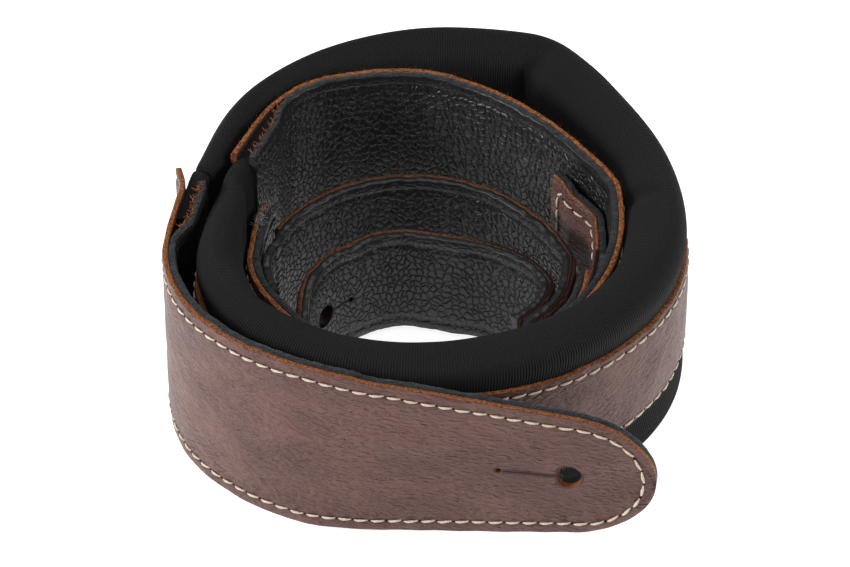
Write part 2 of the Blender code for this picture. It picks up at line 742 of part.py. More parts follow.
def centre_on_origin():
    """Move everything so the coil's box stands centred on the origin."""
    bpy.context.view_layer.update()
    solids = [o for o in bpy.data.objects if not o.hide_render]
    corners = [o.matrix_world @ v.co for o in solids for v in o.data.vertices]
    middle = [(min(c[k] for c in corners) + max(c[k] for c in corners)) / 2 for k in (0, 1)]
    low = min(c[2] for c in corners)
    for item in bpy.data.objects:
        item.location = item.location - Vector((middle[0], middle[1], low))


clear_scene()
front_tab()
pad_cover()
pad_foam()
pad_strip()
rear_piece()
tail()
tail_end()
keeper()
end_strap()
end_tab()
centre_on_origin()
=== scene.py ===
"""Padded leather guitar strap rolled into a coil: its finished pieces, stage and camera."""

import math

import bmesh
import bpy
import numpy as np
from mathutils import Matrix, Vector


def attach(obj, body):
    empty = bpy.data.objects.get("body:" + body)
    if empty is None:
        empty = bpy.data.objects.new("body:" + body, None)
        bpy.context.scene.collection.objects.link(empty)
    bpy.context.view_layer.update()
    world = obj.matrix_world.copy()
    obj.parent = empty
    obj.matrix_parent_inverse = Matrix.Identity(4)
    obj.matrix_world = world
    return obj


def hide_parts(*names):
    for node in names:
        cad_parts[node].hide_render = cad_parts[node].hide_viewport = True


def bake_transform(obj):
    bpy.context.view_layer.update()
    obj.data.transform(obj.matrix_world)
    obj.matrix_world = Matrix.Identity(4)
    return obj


bl_info = {
    "name": "Rolled guitar strap",
    "version": (1, 0, 0),
    "blender": (4, 5, 0),
    "location": "View3D > Sidebar > Strap",
    "description": "Builds a padded leather guitar strap rolled into a coil",
    "category": "Object",
}

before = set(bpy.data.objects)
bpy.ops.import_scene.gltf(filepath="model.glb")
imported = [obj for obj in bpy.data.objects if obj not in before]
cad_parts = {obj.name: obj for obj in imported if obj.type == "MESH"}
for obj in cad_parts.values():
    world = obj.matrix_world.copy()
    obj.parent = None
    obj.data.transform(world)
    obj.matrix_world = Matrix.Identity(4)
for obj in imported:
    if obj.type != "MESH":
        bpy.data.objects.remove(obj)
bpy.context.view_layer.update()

MM = 0.001

# The coil's layout, as the frame has it
COIL_RADIUS = 85 * MM
COIL_MIDDLE = np.array((-0.78 * MM, -12.37 * MM))
LEATHER = 2.0 * MM
LINING = 2.4 * MM
SEWN_GAP = 0.3 * MM
WRAP_GAP = 0.45 * MM
PLY = LEATHER + SEWN_GAP + LINING
THREAD_TOP = 0.7 * MM
THREAD_INSET = 4.0 * MM
TAB_MIDDLE_Z = 33 * MM
TAB_WIDTH = 64.5 * MM
TAB_TIP_WIDTH = 41 * MM
TAB_TAPER = 0.213
TAB_TIP_LENGTH = 26 * MM
TAB_FLAT_LENGTH = 83 * MM
TAB_LEAVES = 8.0
TAB_SHAPE = ((0, 0.918), (10, 0.924), (20, 0.935), (29, 0.954), (47, 0.99), (65, 1.012),
             (80, 0.998), (90, 0.972), (100, 0.962), (105, 0.97), (110, 1.02))
TAB_MOUTH = (84.0, 94.0)
TAB_LEATHER_END = 110.0
TAB_LINING_END = 105.5
TONGUE = 4.0 * MM
THROAT_SPAN = (93.5, 112.0)
HOLE_RADIUS = 4.1 * MM
HOLE_FROM_TIP = 27 * MM
SLIT_LENGTH = 22 * MM
RELIEF_RADIUS = 1.0 * MM
PAD_THICKNESS = 13 * MM
PAD_HEIGHT = 66 * MM
PAD_INSET = 2.4 * MM
PAD_SWELL = 2.4 * MM  # how far the pad bulges beside the strip
PAD_END = 503.0
PAD_SHAPE = ((107, 0.945), (121, 0.982), (144, 1.125), (163, 1.235), (180, 1.305),
             (190, 1.322), (197, 1.335), (201, 1.342), (204, 1.322), (210, 1.262),
             (222, 1.15), (238, 1.06), (255, 1.0), (285, 0.948),
             (315, 0.882), (345, 0.833), (367, 0.826), (390, 0.853), (412, 0.882),
             (432, 0.871), (450, 0.829), (464, 0.809), (481, 0.842), (495, 0.9))
PAD_FULLNESS = ((107, 0.31), (121, 0.5), (144, 0.62), (160, 0.8), (175, 1.0), (425, 1.0),
                (441, 0.85), (452, 0.7), (465, 0.5), (478, 0.31), (495, 0.31))
STRIP_WIDTH = 37.5 * MM
STRIP_MIDDLE_Z = 34.3 * MM
STRIP_SPAN = (112.5, 472.5)
REAR_SPAN = (481.0, 845.0)
REAR_JOINED = (492.5, 507.5)
REAR_BOTTOM = 0.5 * MM
REAR_TOP = ((481, 64.5), (590, 64.5), (636, 61), (661, 56), (700, 52), (845, 44))
REAR_SHAPE = ((481, 0.876), (490, 0.912), (504, 1.0), (514, 1.041), (523, 1.035),
              (539, 1.012), (552, 0.945), (570, 0.855), (588, 0.8), (608, 0.8),
              (640, 0.808), (661, 0.756), (690, 0.682), (720, 0.641), (760, 0.606),
              (785, 0.609), (801, 0.647), (814, 0.682), (827, 0.706), (845, 0.774))
TAIL_SPAN = (802.0, 1023.0)
TAIL_LEATHER_START = 838.0
TAIL_SPLIT = 984.0
TAIL_END = 946.0
TAIL_WIDTH = 43 * MM
TAIL_BOTTOM = 0.3 * MM
TAIL_SHAPE = ((802, 0.612), (814, 0.645), (838, 0.661), (874, 0.671), (897, 0.659),
              (916, 0.635), (950, 0.592), (990, 0.594), (1023, 0.559))
TAIL_END_SHAPE = ((943, 0.705), (949, 0.68), (956, 0.66), (962, 0.668), (973, 0.69),
                  (990, 0.675), (1023, 0.621))
TAIL_END_TOP = ((942, 54.5), (965, 52), (990, 50), (1023, 47))
KEEPER_SPAN = (985.5, 1015.0)
KEEPER_TOP = 43 * MM
END_SPAN = (68.0, 303.0)
END_SPLIT = 135.0
END_LIFT = 2.4 * MM  # how far the inner strap stays above the floor
END_WIDTH = 41 * MM
END_TIP_LENGTH = 20 * MM
END_HOLE_FROM_TIP = 28 * MM
END_SLIT_LENGTH = 12 * MM
HOLE_REACH = 4 * MM  # along the strap, to the point that a button hole is square to
TAIL_EDGE_DARK = 962.0  # the mark round which painted shade turns the tail's raw edge dark
END_EDGE_DARK = 215.0  # the same painted shade on the innermost strap
FADE_LENGTH = 9 * MM  # to each side of that mark
END_SHAPE = ((68, 0.529), (82, 0.494), (100, 0.459), (117, 0.424), (132, 0.388),
             (153, 0.371), (197, 0.318), (231, 0.382), (253, 0.453), (268, 0.5),
             (285, 0.52), (303, 0.506))

# How finely the pieces are made
STATION = 0.5 * MM
LEATHER_STEP = 1.3 * MM
PEBBLE_STEP = 0.8 * MM
TAB_LINING_STEP = 1.1 * MM
ROW_STEP = 0.5 * MM  # between the points of a line of stitches
FIBRE_STEP = 0.6 * MM  # between the points of a line of loose fibres
TORN_STEP = 0.4 * MM  # the same where the leather is torn
SHRED_GIRTH = 0.13  # of a torn shred, as a share of its length
TOUCH = 0.03 * MM  # between two plies that are sewn together
BEND_LENGTH = 8 * MM  # from a piece's split to the far end of its bending line
CORNER = math.radians(60)  # edges that bend more than this stay sharp


# ---------------------------------------------------------------- sizes and colours

class StrapSizes(bpy.types.PropertyGroup):
    stitch_pitch: bpy.props.FloatProperty(
        name="Stitch pitch", description="Distance from one stitch to the next",
        default=5.35 * MM, unit="LENGTH")
    stitch_length: bpy.props.FloatProperty(
        name="Stitch length", description="Length of thread that shows in one stitch",
        default=4.85 * MM, unit="LENGTH")
    thread_width: bpy.props.FloatProperty(
        name="Thread width", description="Width of the sewing thread",
        default=0.88 * MM, unit="LENGTH")
    pebble_size: bpy.props.FloatProperty(
        name="Pebble size", description="Size of one pebble in the lining's grain",
        default=2.5 * MM, unit="LENGTH")
    pebble_depth: bpy.props.FloatProperty(
        name="Pebble depth", description="Depth of the creases between the pebbles",
        default=0.34 * MM, unit="LENGTH")
    rib_pitch: bpy.props.FloatProperty(
        name="Rib pitch", description="Distance between two ribs of the knitted sleeve",
        default=0.95 * MM, unit="LENGTH")
    fibre_length: bpy.props.FloatProperty(
        name="Fibre length", description="Length of the loose fibres on a raw edge",
        default=0.8 * MM, unit="LENGTH")


class StrapColours(bpy.types.PropertyGroup):
    brown: bpy.props.FloatVectorProperty(
        name="Brown leather", description="Colour of the smooth outer leather",
        default=(0.118, 0.044, 0.031), subtype="COLOR")
    red_brown: bpy.props.FloatVectorProperty(
        name="Red brown", description="Colour where the outer leather is darker",
        default=(0.078, 0.022, 0.016), subtype="COLOR")
    raw_edge: bpy.props.FloatVectorProperty(
        name="Raw edge", description="Colour of the outer leather's cut edge",
        default=(0.36, 0.125, 0.04), subtype="COLOR")
    lining: bpy.props.FloatVectorProperty(
        name="Lining", description="Colour of the pebbled lining",
        default=(0.0072, 0.0080, 0.0076), subtype="COLOR")
    lining_edge: bpy.props.FloatVectorProperty(
        name="Lining edge", description="Colour of the lining's cut edge",
        default=(0.021, 0.024, 0.028), subtype="COLOR")
    knit: bpy.props.FloatVectorProperty(
        name="Knit", description="Colour of the pad's sleeve",
        default=(0.0062, 0.0062, 0.0066), subtype="COLOR")
    thread: bpy.props.FloatVectorProperty(
        name="Thread", description="Colour of the sewing thread",
        default=(0.66, 0.57, 0.45), subtype="COLOR")


def sizes():
    return bpy.context.scene.strap_sizes


def colours():
    return bpy.context.scene.strap_colours


# ---------------------------------------------------------------- curves of the coil

def smooth(table, t):
    """A smooth value through the table's points, flat beyond its ends."""
    x, y = np.array(table, float).T
    t = np.clip(t, x[0], x[-1])
    slope = np.diff(y) / np.diff(x)
    lean = np.concatenate(([slope[0]], (slope[:-1] + slope[1:]) / 2, [slope[-1]]))
    i = np.clip(np.searchsorted(x, t, "right") - 1, 0, len(x) - 2)
    span = x[i + 1] - x[i]
    u = (t - x[i]) / span
    return (y[i] * (2 * u**3 - 3 * u**2 + 1) + lean[i] * span * (u**3 - 2 * u**2 + u)
            + y[i + 1] * (3 * u**2 - 2 * u**3) + lean[i + 1] * span * (u**3 - u**2))


def straight(table, t):
    x, y = np.array(table, float).T
    return np.interp(t, x, y)


def ease(a, b, t):
    """From 0 at a to 1 at b, level at both ends."""
    u = np.clip((np.asarray(t, float) - a) / (b - a), 0, 1)
    return u * u * (3 - 2 * u)


def steepness(radius, t):
    """How much longer a thickness is along the ray than square to the wrap."""
    change = (radius(t + 1.0) - radius(t - 1.0)) / math.radians(2)
    return np.sqrt(1 + (change / radius(t)) ** 2)


def inner(radius, thickness, t):
    return radius(t) - thickness * steepness(radius, t)


def pad_thickness(t):
    full = PAD_THICKNESS * np.maximum(TONGUE / PAD_THICKNESS, smooth(PAD_FULLNESS, t))
    mouth = (TONGUE + SEWN_GAP) * (1 - ease(*REAR_JOINED, t)) - 0.1 * MM
    return np.minimum(full, np.maximum(1.2 * MM, np.where(t < 470, full, mouth)))


def strip_rise():
    return SEWN_GAP + LEATHER + THREAD_TOP


def pad_radius(t):
    """The outer face of the pad, from the front tab's mouth to the rear piece's mouth."""
    t = np.asarray(t, float)
    r = smooth(PAD_SHAPE, t) * COIL_RADIUS
    room = tab_radius(np.minimum(t - 360, TAB_LINING_END)) - PLY - TONGUE - SEWN_GAP
    held_in = (t > 440) & (t - 360 <= TAB_LINING_END + 4)
    r = np.where(held_in, np.minimum(r, room - WRAP_GAP - strip_rise()), r)
    held = np.maximum(t, REAR_SPAN[0])
    near = np.minimum(t, 500)
    k = np.sqrt(1 + (np.gradient(smooth(REAR_SHAPE, REAR_SPAN[0] + np.array((0, .5, 1))))[0]
                     / math.radians(.5)) ** 2)
    under = smooth(REAR_SHAPE, held) * COIL_RADIUS - (LEATHER + SEWN_GAP) * k
    return r + (under - r) * ease(468, 478, near)


def tab_radius(t):
    """The brown face of the front tab."""
    t = np.asarray(t, float)
    r = smooth(TAB_SHAPE, t) * COIL_RADIUS
    pad = smooth(PAD_SHAPE, t + 360) * COIL_RADIUS
    return np.where(t < 80, np.maximum(r, pad + strip_rise() + WRAP_GAP + PLY), r)


def throat_radius(t):
    """The outer face of the knitted sleeve in and just outside the front tab's mouth."""
    held = inner(tab_radius, LEATHER + TOUCH, np.minimum(t, 104.0))
    return held + (pad_radius(t) - held) * ease(103, 108, t)


def rear_radius(t):
    """The brown face of the rear piece."""
    t = np.asarray(t, float)
    pad = smooth(PAD_SHAPE, t - 360) * COIL_RADIUS
    ceiling = pad - pad_thickness(t - 360) - WRAP_GAP - THREAD_TOP
    return np.minimum(smooth(REAR_SHAPE, t) * COIL_RADIUS, ceiling)


def rear_inner(t):
    return inner(rear_radius, PLY, t)


def fold_radius(t):
    """The brown face of the folded end, which looks towards the coil's middle."""
    ceiling = rear_inner(t - 360) - WRAP_GAP - PLY * 1.05
    return np.minimum(smooth(TAIL_END_SHAPE, t) * COIL_RADIUS, ceiling)


def tail_radius(t):
    """The brown face of the tail."""
    t = np.asarray(t, float)
    r = smooth(TAIL_SHAPE, t) * COIL_RADIUS
    first = np.minimum(r, rear_inner(t) - WRAP_GAP + LEATHER)
    second = np.minimum(r, rear_inner(t) - WRAP_GAP - THREAD_TOP)
    last = np.minimum(r, rear_inner(t - 360) - WRAP_GAP - THREAD_TOP)
    behind = fold_radius(t)
    last = np.where(t >= TAIL_END - 2,
                    np.minimum(last, behind - WRAP_GAP - 2 * THREAD_TOP), last)
    room = behind - 2 * SEWN_GAP - PLY * 1.02
    last = last + (np.minimum(last, room) - last) * ease(970, TAIL_SPLIT, t)
    return np.where(t < 830, first, np.where(t <= REAR_SPAN[1], second, last))


def keeper_radius(t):
    return fold_radius(t) - SEWN_GAP


def end_radius(t):
    """The brown face of the innermost strap."""
    t = np.asarray(t, float)
    around = t + 720
    r = np.minimum(smooth(END_SHAPE, t) * COIL_RADIUS,
                   rear_inner(around) - WRAP_GAP - THREAD_TOP)
    inside = inner(tail_radius, PLY, around) - WRAP_GAP - THREAD_TOP
    return np.where(around >= TAIL_SPAN[0] - 2, np.minimum(r, inside), r)


def on_coil(t, r):
    """Plan points at angles round the coil, clockwise from the front."""
    a = np.radians(t)
    return COIL_MIDDLE + np.stack((-r * np.sin(a), -r * np.cos(a)), -1)


def turns(a, b, step=0.5):
    return np.linspace(a, b, max(3, int(abs(b - a) / step) + 1))


class Path:
    """A strap's line in plan, with its brown face on the left of the way it runs."""

    def __init__(self, points, marks, soften=1.4 * MM):
        size = np.hypot(*np.diff(points, axis=0).T)
        along = np.concatenate(([0.0], np.cumsum(size)))
        count = max(8, int(along[-1] / STATION))
        even = np.linspace(0, along[-1], count)
        spots = np.stack([np.interp(even, along, points[:, k]) for k in (0, 1)], -1)
        spots = self.softened(spots, soften / STATION)
        size = np.hypot(*np.diff(spots, axis=0).T)
        self.along = np.concatenate(([0.0], np.cumsum(size)))
        self.length = self.along[-1]
        self.spots = spots
        self.marks = np.interp(even, along, marks)
        way = self.softened(np.gradient(spots, axis=0), soften / STATION)
        way /= np.linalg.norm(way, axis=1)[:, None]
        self.out = np.stack((-way[:, 1], way[:, 0]), -1)

    @staticmethod
    def softened(values, width):
        """Values averaged along the path, with the ends kept where they are."""
        reach = max(1, int(3 * width))
        weight = np.exp(-0.5 * (np.arange(-reach, reach + 1) / width) ** 2)
        weight /= weight.sum()
        start = 2 * values[0] - values[reach:0:-1]
        end = 2 * values[-1] - values[-2:-reach - 2:-1]
        padded = np.concatenate((start, values, end))
        return np.stack([np.convolve(padded[:, k], weight, "valid") for k in (0, 1)], -1)

    def at(self, s, h):
        """Plan points at lengths s and offsets h towards the brown face."""
        s, h = np.broadcast_arrays(np.asarray(s, float), np.asarray(h, float))
        point = [np.interp(s, self.along, self.spots[:, k])
                 + h * np.interp(s, self.along, self.out[:, k]) for k in (0, 1)]
        return np.stack(point, -1)

    def facing(self, s):
        out = np.stack([np.interp(s, self.along, self.out[:, k]) for k in (0, 1)], -1)
        return out / np.linalg.norm(out, axis=-1, keepdims=True)

    def length_at(self, mark):
        """The length along the path where its mark is reached."""
        return float(np.interp(mark, self.marks, self.along))

    def mark_at(self, s):
        return np.interp(s, self.along, self.marks)


def coil_path(radius, a, b):
    t = turns(a, b)
    return Path(on_coil(t, radius(t)), t)


def tab_path():
    """From the tip along the straight stretch, then round the coil to the mouth."""
    a = math.radians(TAB_LEAVES)
    leave = on_coil(TAB_LEAVES, tab_radius(TAB_LEAVES))
    along = np.array((math.cos(a), -math.sin(a)))
    d = np.linspace(TAB_FLAT_LENGTH, 0, 60)[:-1]
    flat = leave + along * d[:, None]
    t = turns(TAB_LEAVES, TAB_LEATHER_END)
    marks = np.concatenate((TAB_LEAVES - d / TAB_FLAT_LENGTH * 50, t))
    return Path(np.concatenate((flat, on_coil(t, tab_radius(t)))), marks)


def tail_path():
    """Along the tail, round the fold, and back along the folded end to its tip."""
    t = turns(*TAIL_SPAN)
    out = on_coil(t, tail_radius(t))
    u = turns(TAIL_SPAN[1], TAIL_END)
    back = on_coil(u, fold_radius(u))
    near, far = out[-1], back[0]
    middle = (near + far) / 2
    radius = np.linalg.norm(near - far) / 2
    start = math.atan2(near[1] - middle[1], near[0] - middle[0])
    a = start + np.linspace(0, math.pi, 9)[1:-1]
    bend = middle + radius * np.stack((np.cos(a), np.sin(a)), -1)
    turning = TAIL_SPAN[1] + np.arange(1, 8) * 0.5
    marks = np.concatenate((t, turning, FOLD_MARK - u))
    return Path(np.concatenate((out, bend, back)), marks, 0.8 * MM)


FOLD_MARK = 2 * TAIL_SPAN[1] + 4  # past the fold, a mark is this less the angle


# ---------------------------------------------------------------- node trees

class Value:
    """A node's output that takes part in sums written as Python."""

    def __init__(self, tree, socket):
        self.tree = tree
        self.socket = socket

    def maths(self, operation, *others, clamp=False):
        kinds = {"operation": operation, "use_clamp": clamp}
        return self.tree.node("ShaderNodeMath", kinds, self, *others)

    def __add__(self, other):
        return self.maths("ADD", other)

    def __sub__(self, other):
        return self.maths("SUBTRACT", other)

    def __mul__(self, other):
        return self.maths("MULTIPLY", other)

    def __truediv__(self, other):
        return self.maths("DIVIDE", other)

    def __pow__(self, other):
        return self.maths("POWER", other)

    def __rsub__(self, other):
        return self.tree.node("ShaderNodeMath", {"operation": "SUBTRACT"}, other, self)

    def __rtruediv__(self, other):
        return self.tree.node("ShaderNodeMath", {"operation": "DIVIDE"}, other, self)

    def __neg__(self):
        return self * -1

    __radd__ = __add__
    __rmul__ = __mul__

    def clamp(self):
        return self.maths("ADD", 0, clamp=True)

    def sine(self):
        return self.maths("SINE")

    def step(self, low, high):
        """From 0 at low to 1 at high, level at both ends."""
        kinds = {"interpolation_type": "SMOOTHSTEP"}
        return self.tree.node("ShaderNodeMapRange", kinds, self, low, high, 0.0, 1.0)


class Tree:
    """A node tree built one node at a time."""

    def __init__(self, tree):
        self.tree = tree

    def node(self, kind, settings=None, *values, out=0, **named):
        made = self.tree.nodes.new(kind)
        for key, value in (settings or {}).items():
            setattr(made, key, value)
        places = [*enumerate(values), *((k.replace("_", " "), v) for k, v in named.items())]
        for place, value in places:
            if value is not None:
                self.feed(made.inputs[place], value)
        return Value(self, made.outputs[out])

    def feed(self, socket, value):
        if isinstance(value, Value):
            self.tree.links.new(value.socket, socket)
        elif isinstance(value, tuple) and len(value) == 3 and socket.type == "RGBA":
            socket.default_value = (*value, 1)
        else:
            socket.default_value = value

    def mix(self, share, a, b):
        """Colour a, going over to colour b."""
        kinds = {"data_type": "RGBA"}
        made = self.node("ShaderNodeMix", kinds, out=2)
        mixer = made.socket.node
        for place, value in ((0, share), (6, a), (7, b)):
            self.feed(mixer.inputs[place], value)
        return made

    def vector(self, operation, a, b):
        return self.node("ShaderNodeVectorMath", {"operation": operation}, a, b)

    def noise(self, place, size, detail=2.0, stretch=(1, 1, 1)):
        """Soft noise whose lumps have a size in metres, longer by stretch."""
        scaled = self.vector("MULTIPLY", place, tuple(1 / (size * k) for k in stretch))
        return self.node("ShaderNodeTexNoise", {}, Vector=scaled, Scale=1.0, Detail=detail)

    def pebbles(self, place, size):
        """How far a place is from the crease between two pebbles, from 0 to 1."""
        kinds = {"operation": "SCALE"}
        scaled = self.node("ShaderNodeVectorMath", kinds, place, Scale=1 / size)
        wander = self.node("ShaderNodeTexNoise", {}, Vector=scaled, Scale=0.9, out=1)
        wander = self.vector("MULTIPLY", wander, (0.9, 0.9, 0.0))
        moved = self.vector("ADD", scaled, wander)
        kinds = {"feature": "DISTANCE_TO_EDGE", "voronoi_dimensions": "2D"}
        edge = self.node("ShaderNodeTexVoronoi", kinds, Vector=moved, Scale=1.0)
        return edge.step(0.0, 0.24)


class Finish(Tree):
    """A material, with its place on the flat strap and its shader."""

    def __init__(self, name, roughness=0.6, specular=0.5, sheen=0.0):
        self.material = bpy.data.materials.new(name)
        self.material.use_nodes = True
        super().__init__(self.material.node_tree)
        self.shader = self.tree.nodes["Principled BSDF"].inputs
        self.shader["Roughness"].default_value = roughness
        self.shader["Specular IOR Level"].default_value = specular
        self.shader["Sheen Weight"].default_value = sheen

    def flat(self):
        """The place on the strap as it lies flat, in metres."""
        return self.node("ShaderNodeAttribute", {"attribute_name": "flat"}, out=1)

    def along(self, place):
        return self.node("ShaderNodeSeparateXYZ", {}, place)

    def across(self, place):
        return self.node("ShaderNodeSeparateXYZ", {}, place, out=1)

    def paint(self, **sockets):
        for name, value in sockets.items():
            self.feed(self.shader[name.replace("_", " ")], value)

    def bump(self, height, distance, under=None, strength=1.0):
        """Relief whose height of 1 stands for a distance in metres."""
        made = self.node("ShaderNodeBump", {}, Height=height, Distance=distance,
                         Strength=strength)
        if under is not None:
            self.feed(made.socket.node.inputs["Normal"], under)
        return made


# ---------------------------------------------------------------- finishes

def brown_leather():
    """Smooth full-grain leather with fine wrinkles and longer creases, with painted shade darkening
    the wrinkles' hollows and the fine creases.
    """
    f = Finish("brown_leather", specular=0.5)
    place = f.flat()
    tone = f.noise(place, 14 * MM, 3.0, (1.8, 1, 1))
    patch = f.noise(place, 4 * MM, 4.0, (1.6, 1, 1))
    wrinkle = f.noise(place, 1.0 * MM, 4.0, (2.4, 1, 1))
    pore = f.noise(place, 0.28 * MM, 2.0)
    lean = f.node("ShaderNodeVectorRotate", {"rotation_type": "Z_AXIS"}, place, Angle=0.42)
    crease = f.noise(lean, 2.6 * MM, 3.0, (5.5, 1, 1))
    where = f.noise(place, 22 * MM, 1.0).step(0.35, 0.7)
    fine = f.noise(place, 2.0 * MM, 3.0, (3.0, 1, 1))
    fine = (1 - ((fine - 0.5) * 9).maths("ABSOLUTE")).clamp() * (0.35 + patch * 1.1)
    crease = (1 - ((crease - 0.5) * 9).maths("ABSOLUTE")).clamp() * where
    tan = colours().brown[:]
    base = f.mix(tone.step(0.35, 0.68), colours().red_brown[:], tan)
    base = f.mix((patch.step(0.45, 0.8)) * 0.3, base, tuple(min(1, c * 1.2) for c in tan))
    # Painted shade: the wrinkles' low parts and the fine crease lines are darkened in the colour.
    base = f.mix((wrinkle.step(0.52, 0.3)) * 0.16, base, tuple(c * 0.42 for c in tan))
    base = f.mix(fine * 0.14, base, tuple(c * 0.3 for c in tan))
    rough = 0.3 + patch * 0.12 + wrinkle * 0.1
    low = f.bump(crease * -1, 0.5 * MM)
    low = f.bump(fine * -1, 0.3 * MM, low)
    mid = f.bump(wrinkle, 1.0 * MM, low)
    f.paint(Base_Color=base, Roughness=rough, Normal=f.bump(pore, 0.08 * MM, mid))
    return f.material


def raw_edge(name="raw_edge", shade_scale=1.0, shade_from=None):
    """The outer leather's cut edge and flesh side, orange with darker fibres; a scale below 1 dims
    it with painted shade, and past a given mark painted shade turns it almost black.
    """
    f = Finish(name, specular=0.2)
    place = f.flat()
    streak = f.noise(place, 0.55 * MM, 3.0, (1.7, 1, 1))
    lump = f.noise(place, 3.5 * MM, 2.0)
    # A scale below 1 dims the edge with painted shade.
    tan = tuple(c * shade_scale for c in colours().raw_edge)
    base = f.mix(streak.step(0.34, 0.64), tuple(c * 0.22 for c in tan), tan)
    base = f.mix(lump.step(0.5, 0.8) * 0.5, base, tuple(c * 0.5 for c in tan))
    # Painted shade: past the mark the edge goes almost black.
    if shade_from is not None:
        end = f.along(place).step(shade_from - FADE_LENGTH, shade_from + FADE_LENGTH)
        base = f.mix(end, base, tuple(c * 0.05 + 0.004 for c in tan))
    f.paint(Base_Color=base, Roughness=streak * 0.2 + 0.75, Normal=f.bump(streak, 0.35 * MM))
    return f.material


def pebbled_lining():
    """Black leather with a large round grain, with painted shade darkening the creases between the
    pebbles and lighter pebble tops.
    """
    f = Finish("pebbled_lining", specular=0.4)
    place = f.flat()
    share = f.node("ShaderNodeAttribute", {"attribute_name": "grain"}, out=2)
    dome = 1 - (1 - f.pebbles(place, sizes().pebble_size)) * share
    small = f.noise(place, 0.35 * MM, 2.0)
    tone = f.noise(place, 9 * MM, 2.0)
    black = colours().lining[:]
    # Painted shade: the creases between the pebbles are darkened and the pebble tops lightened in
    # the colour.
    base = f.mix(dome, tuple(c * 0.2 for c in black), tuple(c * 1.4 for c in black))
    base = f.mix(tone * 0.4, base, tuple(c * 2.0 for c in black))
    rough = 0.48 - dome * 0.2 + small * 0.1
    normal = f.bump(small, 0.05 * MM, f.bump(dome, sizes().pebble_depth))
    f.paint(Base_Color=base, Roughness=rough, Normal=normal)
    return f.material


def lining_edge():
    """The lining's cut edge, charcoal and fibrous."""
    f = Finish("lining_edge", specular=0.15, sheen=0.15)
    place = f.flat()
    streak = f.noise(place, 0.45 * MM, 3.0, (1.5, 1, 1))
    lump = f.noise(place, 1.6 * MM, 2.0)
    grey = colours().lining_edge[:]
    base = f.mix(streak.step(0.35, 0.7), tuple(c * 0.35 for c in grey),
                 tuple(c * 1.5 for c in grey))
    f.paint(Base_Color=base, Roughness=streak * 0.1 + 0.85,
            Normal=f.bump(lump, 0.4 * MM, f.bump(streak, 0.3 * MM)))
    return f.material


def ribbed_knit():
    """The pad's stretch sleeve, with fine ribs up and down and small loops in each rib, and painted
    shade darkening the valleys between the ribs.
    """
    f = Finish("ribbed_knit", specular=0.18, sheen=0.02)
    place = f.flat()
    turn = 2 * math.pi / sizes().rib_pitch
    wander = (f.noise(place, 5 * MM, 2.0) - 0.5) * 0.5
    across = f.across(place) / sizes().rib_pitch
    zig = (across * (math.pi * 1.1)).sine() * 0.3
    rib = (f.along(place) * turn + wander + zig).sine() * 0.5 + 0.5
    loop = (across * (2 * math.pi * 1.25)).sine() * 0.5 + 0.5
    fuzz = f.noise(place, 0.3 * MM, 2.0)
    black = colours().knit[:]
    # Painted shade: the valleys between the ribs are darker and the rib tops lighter; the fuzz adds
    # random tone.
    rib_shade_and_fuzz_tone = rib * 0.7 + fuzz * 0.3
    base = f.mix(rib_shade_and_fuzz_tone, tuple(c * 0.6 for c in black), tuple(c * 1.8 for c in black))
    normal = f.bump(rib, 0.32 * MM, f.bump(loop, 0.06 * MM, f.bump(fuzz, 0.06 * MM)))
    f.paint(Base_Color=base, Roughness=fuzz * 0.1 + 0.78, Normal=normal)
    return f.material


def sewing_thread():
    f = Finish("sewing_thread", specular=0.25)
    place = f.node("ShaderNodeTexCoord", {}, out=3)
    ply = f.noise(place, 0.35 * MM, 2.0)
    cream = colours().thread[:]
    base = f.mix(ply.step(0.35, 0.6), tuple(c * 0.62 for c in cream), cream)
    f.paint(Base_Color=base, Roughness=ply * 0.1 + 0.65, Normal=f.bump(ply, 0.12 * MM))
    return f.material


def plain_fibre(name, colour, dark=0.4):
    """Loose fibres of one colour, some darker than others."""
    f = Finish(name, specular=0.2)
    place = f.node("ShaderNodeTexCoord", {}, out=3)
    tone = f.noise(place, 1.1 * MM, 1.0)
    base = f.mix(tone.step(0.35, 0.65), tuple(c * dark for c in colour), colour)
    f.paint(Base_Color=base, Roughness=tone * 0.1 + 0.8)
    return f.material


# Painted shade: the dark colour of the needle holes' recesses.
def needle_hole():
    f = Finish("needle_hole", specular=0.1)
    place = f.node("ShaderNodeTexCoord", {}, out=3)
    tone = f.noise(place, 0.5 * MM, 1.0)
    f.paint(Base_Color=f.mix(tone, (0.012, 0.006, 0.005), (0.03, 0.013, 0.010)),
            Roughness=tone * 0.1 + 0.85)
    return f.material


FINISHES = {}


def finish(name):
    """A finish by name, made the first time that it is asked for."""
    makers = {
        "brown": brown_leather,
        "raw": raw_edge,
        # Copies of the raw edge for the inner wraps, dimmed by painted shade and turned almost
        # black by painted shade past a mark.
        "shaded_tail": lambda: raw_edge(
            "worn_tail_edge", 0.45, tail_path().length_at(TAIL_EDGE_DARK)),
        "shaded_end": lambda: raw_edge(
            "worn_end_edge", 0.45, coil_path(end_radius, *END_SPAN).length_at(END_EDGE_DARK)),
        "lining": pebbled_lining,
        "lining_edge": lining_edge,
        "knit": ribbed_knit,
        "thread": sewing_thread,
        "hole": needle_hole,
        "raw_fibre": lambda: plain_fibre("raw_fibre", tuple(colours().raw_edge)),
        "lining_fibre": lambda: plain_fibre("lining_fibre", (0.045, 0.052, 0.06)),
        "hair": lambda: plain_fibre("pale_hair", (0.35, 0.34, 0.33)),
    }
    if name not in FINISHES:
        FINISHES[name] = makers[name]()
    return FINISHES[name]


# ---------------------------------------------------------------- meshes

